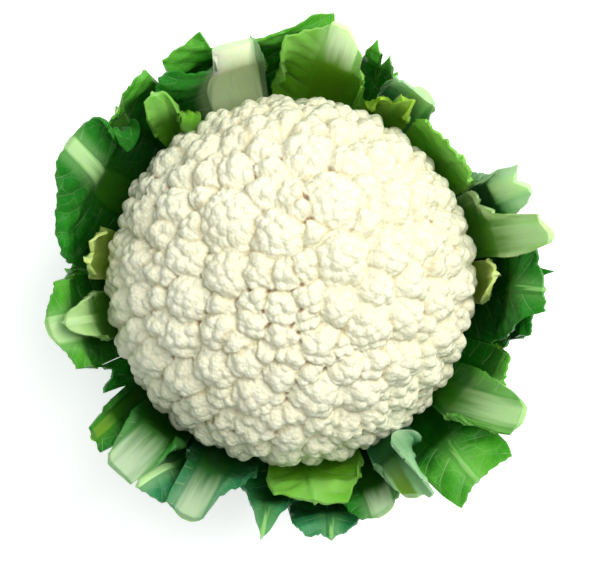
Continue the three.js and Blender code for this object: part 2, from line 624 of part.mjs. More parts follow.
// A leaf is a thin closed shell: both faces are split into triangles alike, and a rim joins them.
function buildLeaf(leaf) {
  const columns = columnsOf(leaf);
  const fineFrom = ROWS.length - 2;
  const points = [];
  const rows = ROWS.map((v, row) => {
    const used = columns.filter((column) => column.coarse || row >= fineFrom);
    return used.map((column) => {
      points.push(leafPoint(leaf, column, v));
      return { place: column.zone + column.part, index: points.length - 1 };
    });
  });
  const sheet = [];
  for (let row = 0; row + 1 < rows.length; row++) sheet.push(...stitch(rows[row], rows[row + 1]));
  const count = points.length;
  const faces = sheet.flatMap(([a, b, c]) => [a + count, b + count, c + count, a, c, b]);
  const ids = rows.map((row) => row.map(({ index }) => index));
  const rim = [
    ...ids[0],
    ...ids.slice(1, -1).map((row) => row[row.length - 1]),
    ...ids[ids.length - 1].slice().reverse(),
    ...ids.slice(1, -1).reverse().map((row) => row[0]),
  ];
  rim.forEach((a, i) => {
    const b = rim[(i + 1) % rim.length];
    faces.push(a, b, b + count, a, b + count, a + count);
  });
  const positions = [...points.map((p) => p.inner), ...points.map((p) => p.outer)];
  return meshGeometry(positions.flatMap((p) => p.toArray()), faces);
}

// ---------------------------------------------------------------- assembly

function meshGeometry(positions, faces) {
  const geometry = new THREE.BufferGeometry();
  geometry.setAttribute('position', new THREE.Float32BufferAttribute(positions, 3));
  geometry.setIndex(faces);
  geometry.computeVertexNormals();
  return geometry;
}

function addPiece(group, name, geometry, finish) {
  const mesh = new THREE.Mesh(geometry, FINISHES[finish]);
  mesh.name = name;
  group.add(mesh);
}

const cauliflower = new THREE.Group();
addPiece(cauliflower, 'stem', buildStem(), 'stem');
addPiece(cauliflower, 'curd', buildCurd(), 'curd');
for (const leaf of LEAVES) {
  const finish = leaf.name.startsWith('young') ? 'young_leaf' : 'leaf';
  addPiece(cauliflower, leaf.name, buildLeaf(leaf), finish);
}

export default cauliflower;
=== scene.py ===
# %% [markdown]
# # A trimmed cauliflower, dressed in Blender
# A cauliflower is a white head of florets on a short cut stem, wrapped in leaves whose tops were
# cut off. The CAD frame holds one plain solid for each of these pieces. Here each one gets a finer
# mesh of the same shape and place, so that the two models agree, and a procedural finish.

import math

import bpy
import numpy as np
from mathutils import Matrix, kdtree


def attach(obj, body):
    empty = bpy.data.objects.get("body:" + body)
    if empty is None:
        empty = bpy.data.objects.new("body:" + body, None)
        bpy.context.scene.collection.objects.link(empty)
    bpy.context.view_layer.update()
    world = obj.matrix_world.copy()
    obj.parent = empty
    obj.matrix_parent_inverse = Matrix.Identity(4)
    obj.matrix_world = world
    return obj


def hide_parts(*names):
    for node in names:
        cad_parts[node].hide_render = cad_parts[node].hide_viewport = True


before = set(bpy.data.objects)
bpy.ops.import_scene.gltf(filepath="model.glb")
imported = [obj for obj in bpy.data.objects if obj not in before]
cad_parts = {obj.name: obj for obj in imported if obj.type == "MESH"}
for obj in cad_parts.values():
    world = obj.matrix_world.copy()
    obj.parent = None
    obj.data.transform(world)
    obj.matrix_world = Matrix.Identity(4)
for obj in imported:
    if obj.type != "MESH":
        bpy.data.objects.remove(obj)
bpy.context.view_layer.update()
MM = 0.001
print("CAD nodes:", len(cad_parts))


# %% Helpers for meshes
def deselect_all():
    bpy.ops.object.select_all(action="DESELECT")


def read_points(piece):
    places = np.empty(len(piece.data.vertices) * 3)
    piece.data.vertices.foreach_get("co", places)
    return places.reshape(-1, 3)


def move_points(piece, places):
    piece.data.vertices.foreach_set("co", np.ascontiguousarray(places, dtype=float).ravel())
    piece.data.update()


def write_attribute(piece, name, values):
    attribute = piece.data.attributes.new(name, "FLOAT", "POINT")
    attribute.data.foreach_set("value", np.ascontiguousarray(values, dtype=np.float32).ravel())


def stand_for(piece, node):
    """The piece rides on the one body and replaces its CAD node, which is hidden."""
    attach(piece, "root")
    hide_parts(node)


# %% Helpers for numbers
def mix(a, b, share):
    return a + (b - a) * share


def ease(x, low, high):
    """0 below `low`, 1 above `high`, and a smooth step between them."""
    x = np.clip((x - low) / (high - low), 0, 1)
    return x * x * (3 - 2 * x)


def ripples(seed, x, y, *waves):
    """A gentle unevenness: sine waves that cross each other, each (wavelength, height)."""
    total = 0 * (x + y)
    for order, (wavelength, height) in enumerate(waves):
        turn = seed * 1.7 + order * 2.4
        phase = seed * 3.1 + order
        total = total + height * np.sin(
            2 * np.pi / wavelength * (x * np.cos(turn) + y * np.sin(turn)) + phase)
    return total


# %% [markdown]
# ## Finishes as short recipes
# Plant surfaces are never one flat colour, so each finish is a small tree of nodes. Adding a node
# and linking it takes several lines of bpy each time, so a small class does both in one call. The
# recipes below then read like a list of layers: a colour, a paler vein, a crease, a bump.


# %% A finish is built a node at a time
class Finish:
    """A material whose calls each add one node and return its output."""

    def __init__(self, name):
        self.material = bpy.data.materials.new(name)
        self.material.use_nodes = True
        self.nodes = self.material.node_tree.nodes
        self.shader = self.nodes["Principled BSDF"]

    def feed(self, socket, value):
        if isinstance(value, bpy.types.NodeSocket):
            self.material.node_tree.links.new(value, socket)
        else:
            socket.default_value = value

    def add(self, kind, settings, inputs, output=0):
        node = self.nodes.new(kind)
        for key, value in settings.items():
            setattr(node, key, value)
        for key, value in inputs.items():
            self.feed(node.inputs[key], value)
        return node.outputs[output]

    def attribute(self, name):
        return self.add("ShaderNodeAttribute", {"attribute_name": name}, {}, "Fac")

    def place(self):
        return self.add("ShaderNodeTexCoord", {}, {}, "Object")

    def wrap(self):
        return self.add("ShaderNodeTexCoord", {}, {}, "UV")

    def stretch(self, where, x, y, z=1.0):
        return self.add("ShaderNodeMapping", {}, {"Vector": where, "Scale": (x, y, z)})

    def maths(self, operation, a, b=0.0):
        return self.add("ShaderNodeMath", {"operation": operation}, {0: a, 1: b})

    def remap(self, value, low, high, to_low=0.0, to_high=1.0):
        """A smooth step of a value from one range to another."""
        return self.add("ShaderNodeMapRange", {"interpolation_type": "SMOOTHSTEP"}, {
            "Value": value, "From Min": low, "From Max": high, "To Min": to_low, "To Max": to_high})

    def noise(self, where, scale, detail=3.0, roughness=0.5):
        return self.add("ShaderNodeTexNoise", {}, {
            "Vector": where, "Scale": scale, "Detail": detail, "Roughness": roughness}, "Fac")

    def cells(self, where, scale, feature="F1"):
        return self.add("ShaderNodeTexVoronoi", {"feature": feature}, {
            "Vector": where, "Scale": scale}, "Distance")

    def blend(self, share, a, b):
        """Colour a turned towards colour b by a share. A Mix node's colour sockets are 6, 7 and 2."""
        return self.add("ShaderNodeMix", {"data_type": "RGBA"}, {0: share, 6: a, 7: b}, 2)

    def bump(self, height, distance, strength=1.0):
        return self.add("ShaderNodeBump", {}, {
            "Height": height, "Distance": distance, "Strength": strength})

    def surface(self, inputs):
        for key, value in inputs.items():
            self.feed(self.shader.inputs[key], value)
        return self.material


def colour(red, green, blue):
    return (red, green, blue, 1.0)


# %% [markdown]
# ## The head
# The head, or curd, is one piece: cushioned florets set close together, each made of lumps the size
# of a pea, with buds too small to tell apart. It could be sculpted, or joined from thousands of
# spheres. Here a fine icosphere is added, and each of its points is pushed out to an oval and then
# sunk onto the highest of the domes around it. One mesh keeps the head whole, and domes keep the
# florets full and the creases between them narrow, as they are where florets press together.

# %% Sizes of the head
HEAD = dict(middle=0.080, radius=0.0865, crown=0.065, underside=0.054, seat=0.030)
CORE = dict(radius=0.078, crown=0.057, underside=0.057)

# Florets of the crown: x, y and radius in millimetres, seen from above.
CROWN_FLORETS = [
    (-3, 3, 7), (6, 7, 6.5), (9, -9, 6.5), (-15, 4, 8), (-6, 23, 13.5), (22, -13, 8),
    (24, 12, 13.5), (-18, -20, 6.5), (-5, -27, 7), (-31, 3, 11.5), (13, -31, 10), (4, 34, 5.5),
    (0, -36, 6.5), (-27, -29, 7), (0, 41, 6.5), (-34, -24, 9), (42, -4, 7), (-30, 30, 16),
    (20, 39, 15.5), (38, -22, 11.5), (-23, -38, 9), (-13, 43, 8), (-5, -45, 7), (27, -42, 7),
    (-50, -9, 11), (49, 14, 11), (-52, 12, 9), (-36, -42, 10), (13, -56, 11.5), (56, -18, 10),
    (-18, -56, 11), (-27, 54, 9), (-54, -27, 9), (49, 39, 12.5), (-63, 5, 8), (8, 63, 13.5),
    (-14, 63, 7), (36, -54, 9), (-40, 52, 8), (29, 59, 10), (-63, -22, 8), (-63, 23, 6.5),
    (54, -40, 11), (-57, 36, 10), (65, 18, 10), (-52, -49, 10), (72, -9, 10), (-72, -9, 8),
    (-25, 69, 9), (9, 73, 10), (42, 61, 10), (-18, -72, 10), (-16, 73, 11), (-45, -60, 9),
    (63, 41, 10), (0, -76, 9), (24, 73, 10), (27, -72, 8), (40, -67, 8), (-3, 78, 11),
    (15, 81, 10),
]
RIM_FLORETS = dict(count=150, radius=0.0095, apart=0.0125, lowest=-0.68)
FILLERS = dict(count=1500, gap=0.0024, more=0.0014)
DOME = dict(deep=0.46, least=0.0016, most=0.0060, level=0.35)
CREASE = dict(deep=0.0011, wide=0.0020)
HOLLOW = dict(deep=0.0009, wide=0.0026)
LUMPS = dict(count=3300, jitter=0.22, reach=(0.0025, 0.0032), deep=0.0012, sunk=0.0006)
WOBBLE = ((0.0130, 0.0008), (0.0075, 0.0005))  # waves that bend the florets' outlines
VALLEY = 0.00012  # how softly two sides of a crease run into each other
print("florets in the crown's table:", len(CROWN_FLORETS))


# %% Florets, from the table on the crown and by rule round the rim
def spiral(count):
    """Directions spread evenly over a ball, from bottom to top."""
    i = np.arange(count)
    z = (2 * i + 1) / count - 1
    turn = math.pi * (3 - math.sqrt(5)) * i
    across = np.sqrt(1 - z * z)
    return np.stack([across * np.cos(turn), across * np.sin(turn), z], axis=1)


def oval_reach(ways, oval):
    """Distance from the head's middle to an oval, along each direction."""
    height = np.where(ways[:, 2] > 0, oval["crown"], oval["underside"])
    across = (ways[:, 0] ** 2 + ways[:, 1] ** 2) / oval["radius"] ** 2
    return 1 / np.sqrt(across + ways[:, 2] ** 2 / height**2)


def drop_below(ways, sunk):
    return ways * (oval_reach(ways, HEAD) - sunk)[:, None]


def place_florets():
    """The florets' tops, measured from the head's middle, and their radii."""
    tops, radii = [], []
    for x, y, radius in np.array(CROWN_FLORETS) * MM:
        up = math.sqrt(max(0.0, 1 - (x * x + y * y) / HEAD["radius"] ** 2))
        tops.append(np.array([x, y, up * HEAD["crown"]]))
        radii.append(radius)
    for top in drop_below(spiral(RIM_FLORETS["count"]), 0):
        free = all(np.linalg.norm(top - t) > RIM_FLORETS["apart"] + r / 3 for t, r in zip(tops, radii))
        if top[2] >= RIM_FLORETS["lowest"] * np.linalg.norm(top) and free:
            tops.append(top)
            radii.append(RIM_FLORETS["radius"])
    return np.array(tops), np.array(radii)


tops, radii = place_florets()
print("florets:", len(tops))


# %% Small florets that fill the gaps
def fill_gaps(tops, radii):
    """Wherever a gap between florets is wide enough, a small floret has grown into it."""
    spots = drop_below(spiral(FILLERS["count"]), 0)
    gaps = np.array([(np.linalg.norm(tops - spot, axis=1) - radii).min() for spot in spots])
    for i in np.argsort(-gaps):
        gap = (np.linalg.norm(tops - spots[i], axis=1) - radii).min()
        if gap > FILLERS["gap"]:
            tops = np.vstack([tops, spots[i]])
            radii = np.append(radii, gap + FILLERS["more"])
    return tops, radii


tops, radii = fill_gaps(tops, radii)
print("florets with the small ones between:", len(tops))


# %% Domes, and the lumps that cover them
def directions(places):
    far = np.linalg.norm(places, axis=1)
    return places / far[:, None], far


def nearest(places, tops, count):
    tree = kdtree.KDTree(len(tops))
    for i, top in enumerate(tops):
        tree.insert(top, i)
    tree.balance()
    return np.array([[hit[1] for hit in tree.find_n(place, count)] for place in places])


def highest(drops):
    """The least of several depths, rounded a little where two of them are equal."""
    least = drops.min(axis=1)
    return least - VALLEY * np.log(np.exp((least[:, None] - drops) / VALLEY).sum(axis=1))


def depth_on_domes(places):
    """How deep the florets' domes lie there, and how much deeper the second and third ones are."""
    x, y, z = places.T
    bent = [ripples(1, x + z, y, *WOBBLE), ripples(2, x, y + z, *WOBBLE), 0 * z]
    places = places + np.stack(bent, axis=1)
    swell = np.clip(DOME["deep"] * radii, DOME["least"], DOME["most"])
    level = DOME["level"] * (DOME["most"] - swell)
    close = nearest(places, tops, 12)
    off = np.linalg.norm(places[:, None] - tops[close], axis=2) / radii[close]
    depths = np.sort(level[close] + swell[close] * off**2, axis=1)
    return highest(depths), depths[:, 1] - depths[:, 0], depths[:, 2] - depths[:, 0]


chance = np.random.default_rng(11)
uneven = LUMPS["jitter"] * math.sqrt(4 * math.pi / LUMPS["count"])
evenly = spiral(LUMPS["count"])
lumps = drop_below(directions(evenly + uneven * chance.normal(size=evenly.shape))[0], 0)
lump_reach = chance.uniform(*LUMPS["reach"], size=len(lumps))
lump_depth, second, _ = depth_on_domes(lumps)
lump_depth += LUMPS["sunk"] * (1 - ease(second, 0, CREASE["wide"]))
print("lumps:", len(lumps))

# %% [markdown]
# ## The head's mesh
# The icosphere's points are even over the ball. The crown is seen from above and the underside is
# hidden by leaves, so a smooth squeeze draws the points up towards the crown first. Each floret is
# a dome that starts on the outer oval, and a small floret starts a little lower than a big one. The
# lumps sit on the domes, and each lump is a small dome itself. The surface is whatever dome is
# highest, so it has rounded lumps, lobed florets, and creases where two domes meet.
# The mesh also carries numbers that the finish turns into colour: how near a point is to a second
# floret and to a third one, and how far it is below the top of its lump.

# %% Head mesh
deselect_all()
bpy.ops.mesh.primitive_ico_sphere_add(subdivisions=6, radius=1.0, location=(0, 0, 0))
head = bpy.context.active_object
head.name = "white_head"
bpy.ops.object.mode_set(mode="EDIT")
bpy.ops.mesh.select_all(action="SELECT")
bpy.ops.mesh.subdivide(number_cuts=2)
bpy.ops.object.mode_set(mode="OBJECT")

CROWDING = 0.4
ways, _ = directions(read_points(head))
squeezed = ways + np.array([0, 0, CROWDING])
squeezed[:, :2] *= math.sqrt(1 - CROWDING**2)
ways, _ = directions(squeezed / (1 + CROWDING * ways[:, 2:3]))

places = drop_below(ways, 0)
close = nearest(places, lumps, 7)
off = np.linalg.norm(places[:, None] - lumps[close], axis=2) / lump_reach[close]
drops = lump_depth[close] + LUMPS["deep"] * off**2
own = drops.argmin(axis=1)
drop = highest(drops)
below_top = drop - lump_depth[close[np.arange(len(places)), own]]
_, second, third = depth_on_domes(places)
waver = ripples(3, places[:, 0], places[:, 1], (0.047, 0.5), (0.029, 0.5))
clearness = mix(0.45, 1.0, ease(waver, -0.6, 0.5))
drop = drop + CREASE["deep"] * clearness * (1 - ease(second, 0, CREASE["wide"]))
drop = drop + HOLLOW["deep"] * (1 - ease(third, 0, HOLLOW["wide"]))

seat = (HEAD["middle"] - HEAD["seat"]) / np.maximum(-ways[:, 2], 1e-6)
far = np.maximum(oval_reach(ways, HEAD) - drop, oval_reach(ways, CORE))
far = np.minimum(far, seat)
move_points(head, ways * far[:, None] + np.array([0, 0, HEAD["middle"]]))
write_attribute(head, "second", second)
write_attribute(head, "third", third)
write_attribute(head, "dip", below_top)
print("head faces:", len(head.data.polygons), "deepest drop in mm:", round(drop.max() / MM, 1))

# %% [markdown]
# ## The head's finish
# Fresh curd is creamy white, not pure white. Light goes a few millimetres into it, which softens every
# shadow, and the creases between florets are a warm straw colour. The base colour follows the three
# numbers that the mesh carries: it is a little darker below the top of each lump, which is painted shade;
# creases turn to straw, partly the curd's own tint and partly painted shade; and a few of the hollows
# where three florets meet turn brown, also partly painted shade. Subsurface scattering gives the soft
# glow, and a fine bump gives the grain of the unopened buds, which is too small to model.


# %% Head finish
def curd_finish():
    f = Finish("creamy_curd")
    where = f.place()
    patch = f.remap(f.noise(where, 28.0, 2.0), 0.35, 0.7)
    cream = f.blend(patch, colour(0.77, 0.76, 0.585), colour(0.82, 0.815, 0.655))
    # Painted shade: a little darker below the top of each lump.
    low = f.remap(f.attribute("dip"), 0.0002, 0.0010)
    painted_dip_shade = f.blend(f.maths("MULTIPLY", low, 0.35), cream, colour(0.70, 0.67, 0.45))
    # Creases turn straw: partly the curd's own tint, partly painted shade.
    patchy = f.remap(f.noise(where, 60.0, 2.0), 0.35, 0.62, 0.3, 1.0)
    crease = f.remap(f.attribute("second"), 0.0026, 0.0, 0.0, 0.62)
    straw_and_painted_crease_shade = f.blend(f.maths("MULTIPLY", crease, patchy), painted_dip_shade, colour(0.55, 0.46, 0.26))
    # A few hollows where three florets meet turn brown: partly painted shade.
    some = f.remap(f.noise(where, 34.0, 1.0), 0.52, 0.62, 0.0, 0.85)
    hollow = f.maths("MULTIPLY", f.remap(f.attribute("third"), 0.0032, 0.0008), some)
    brown_and_painted_hollow_shade = f.blend(hollow, straw_and_painted_crease_shade, colour(0.27, 0.14, 0.06))
    buds = f.cells(where, 520.0)
    grain = f.maths("MULTIPLY", f.maths("MULTIPLY", buds, buds), -1.0)
    return f.surface({
        "Base Color": brown_and_painted_hollow_shade, "Roughness": 0.6, "Specular IOR Level": 0.3,
        "Subsurface Weight": 0.22, "Subsurface Radius": (0.0016, 0.0015, 0.0010),
        "Subsurface Scale": 1.0, "Normal": f.bump(grain, 0.9 * MM, 0.6)})


head.data.materials.append(curd_finish())
bpy.ops.object.shade_smooth()
stand_for(head, "curd")
print("head dressed in", head.data.materials[0].name)

# %% [markdown]
# ## The stem
# The stem is a stump that the leaves grow from, cut flat where it was taken off the plant. The cut
# shows a pale pith inside a firmer green ring. A cone primitive has the right taper. Bisecting it
# adds rings up the side, inset adds rings over the cut, and the points are then moved a little,
# because nothing that grew is perfectly round.

# %% Stem mesh
STEM = dict(height=0.0297, cut_radius=0.024, top_radius=0.029)
deselect_all()
bpy.ops.mesh.primitive_cone_add(
    vertices=120, radius1=STEM["cut_radius"], radius2=STEM["top_radius"], depth=STEM["height"],
    location=(0, 0, STEM["height"] / 2))
stem = bpy.context.active_object
stem.name = "cut_stem"
bpy.ops.object.transform_apply(location=True, rotation=False, scale=False)
bpy.ops.object.mode_set(mode="EDIT")
for share in np.linspace(0.06, 0.94, 12):
    bpy.ops.mesh.select_all(action="SELECT")
    bpy.ops.mesh.bisect(plane_co=(0, 0, share * STEM["height"]), plane_no=(0, 0, 1))
bpy.ops.object.mode_set(mode="OBJECT")
for face in stem.data.polygons:
    face.select = face.normal.z < -0.9
bpy.ops.object.mode_set(mode="EDIT")
bpy.ops.mesh.select_mode(type="FACE")
for ring in (0.0006, 0.0012, 0.0012, 0.001, 0.001, 0.003, 0.004, 0.004, 0.004):
    bpy.ops.mesh.inset(thickness=ring, use_even_offset=False)
bpy.ops.mesh.poke()
bpy.ops.object.mode_set(mode="OBJECT")

places = read_points(stem)
around = np.arctan2(places[:, 1], places[:, 0])
wide = np.hypot(places[:, 0], places[:, 1])
up = places[:, 2] / STEM["height"]
uneven = 1 + (0.012 * np.sin(3 * around + 1) + 0.008 * np.sin(7 * around + 4 * up)) * ease(up, 0, 0.1)
uneven -= 0.006 * (1 - ease(up, 0, 0.04)) * (wide > 0.97 * STEM["cut_radius"])
pith = -0.35 * MM * (1 - ease(wide, 0.010, 0.017)) + 0.12 * MM * np.sin(wide / 0.0011)
places[:, :2] *= np.minimum(uneven, 1.0)[:, None]
places[:, 2] -= np.where(up < 0.001, np.minimum(pith, 0), 0) * (wide < 0.97 * STEM["cut_radius"])
move_points(stem, places)
bpy.ops.object.shade_smooth_by_angle(angle=math.radians(40))
print("stem faces:", len(stem.data.polygons))

# %% [markdown]
# ## The stem's finish
# The cut face has rings, so its colour follows the distance from the stem's axis. Object
# coordinates give that distance, because the axis is the object's own Z. Only the x and y parts
# are used: a Mapping node with a z scale of nothing flattens the place onto the ground.


# %% Stem finish
def stem_finish():
    f = Finish("pale_stem")
    where = f.place()
    flat = f.stretch(where, 1.0, 1.0, 0.0)
    wide = f.add("ShaderNodeVectorMath", {"operation": "LENGTH"}, {0: flat}, "Value")
    wander = f.maths("MULTIPLY", f.noise(where, 160.0, 3.0), 0.003)
    wide = f.maths("ADD", wide, wander)
    pith = f.blend(f.noise(where, 500.0, 4.0), colour(0.78, 0.79, 0.58), colour(0.72, 0.74, 0.50))
    ring = f.maths("MULTIPLY", f.remap(wide, 0.0175, 0.0195), f.remap(wide, 0.0222, 0.0205))
    ringed = f.blend(ring, pith, colour(0.58, 0.63, 0.32))
    bark = f.blend(f.noise(f.stretch(where, 1.0, 1.0, 0.25), 420.0, 5.0),
                   colour(0.50, 0.60, 0.30), colour(0.70, 0.74, 0.47))
    skin = f.blend(f.remap(wide, 0.0238, 0.0248), ringed, bark)
    height = f.add("ShaderNodeSeparateXYZ", {}, {0: where}, "Z")
    side = f.remap(height, 0.0002, 0.0012)
    return f.surface({
        "Base Color": f.blend(side, skin, bark), "Roughness": 0.5, "Specular IOR Level": 0.4,
        "Subsurface Weight": 0.2, "Subsurface Radius": (0.002, 0.002, 0.001), "Subsurface Scale": 1.0,
        "Normal": f.bump(f.noise(where, 900.0, 5.0), 0.3 * MM, 0.7)})


stem.data.materials.append(stem_finish())
stand_for(stem, "stem")
print("stem dressed in", stem.data.materials[0].name)

# %% [markdown]
# ## Leaves
# Every leaf starts at the stem, runs under the head and up its side, and bends outward towards its
# cut end. Real leaves nest without crossing, so all of them follow one bowl-shaped sweep, each
# layer a step outside the last. A leaf could be bent from a flat sheet with lattices, but wrapping
# a grid on the sweep keeps it clear of its neighbours. Solidify then grows the thickness outward,
# thin on the blade and thick on the midrib, through a vertex group.

# %% Sizes that all leaves share
SWEEP = dict(start=0.027, height=0.0235, rise=math.radians(8), upright=math.radians(85),
             hug=0.0768, flare=0.030, open=34)  # the bowl hugs the head, then flares open
LAYER_STEP = 0.0075
BLADE = dict(base=0.0015, end=0.0012)
RIB_DEPTH = dict(base=0.0042, end=0.0026)
OUTERMOST = 2
OUTERMOST_RIB = 1.5  # ribs stand out further where no leaf lies outside them
RIB_RAISE = 0.0005
RIB_FOOT = 0.75  # share of a leaf's foot that the rib takes up
GAP = 0.0004
RIB_NARROWS = 1.6  # how fast a rib narrows from its foot to its own width
WIDEST = 0.55  # how far up a leaf its widest level lies
LEVEL = 0.9  # share of the lowest corner's length up to which a leaf's rows run level

# %% [markdown]
# ## The leaves by name
# Each leaf has the layer it lies in, the bearing of its rib at the foot and at the cut, the rib's
# width, the bearings of its two sides at the widest level, how much each side curls, and its cut
# edge as bearings and distances from the stem's axis. A side that rolls in over its leaf has the
# roll's width and its turn in degrees, and a leaf whose end leans in over the head says how far.
# Bearings are degrees anticlockwise from +X, seen from above, and distances are metres. The tone
# and the midrib choose the leaf's finish.

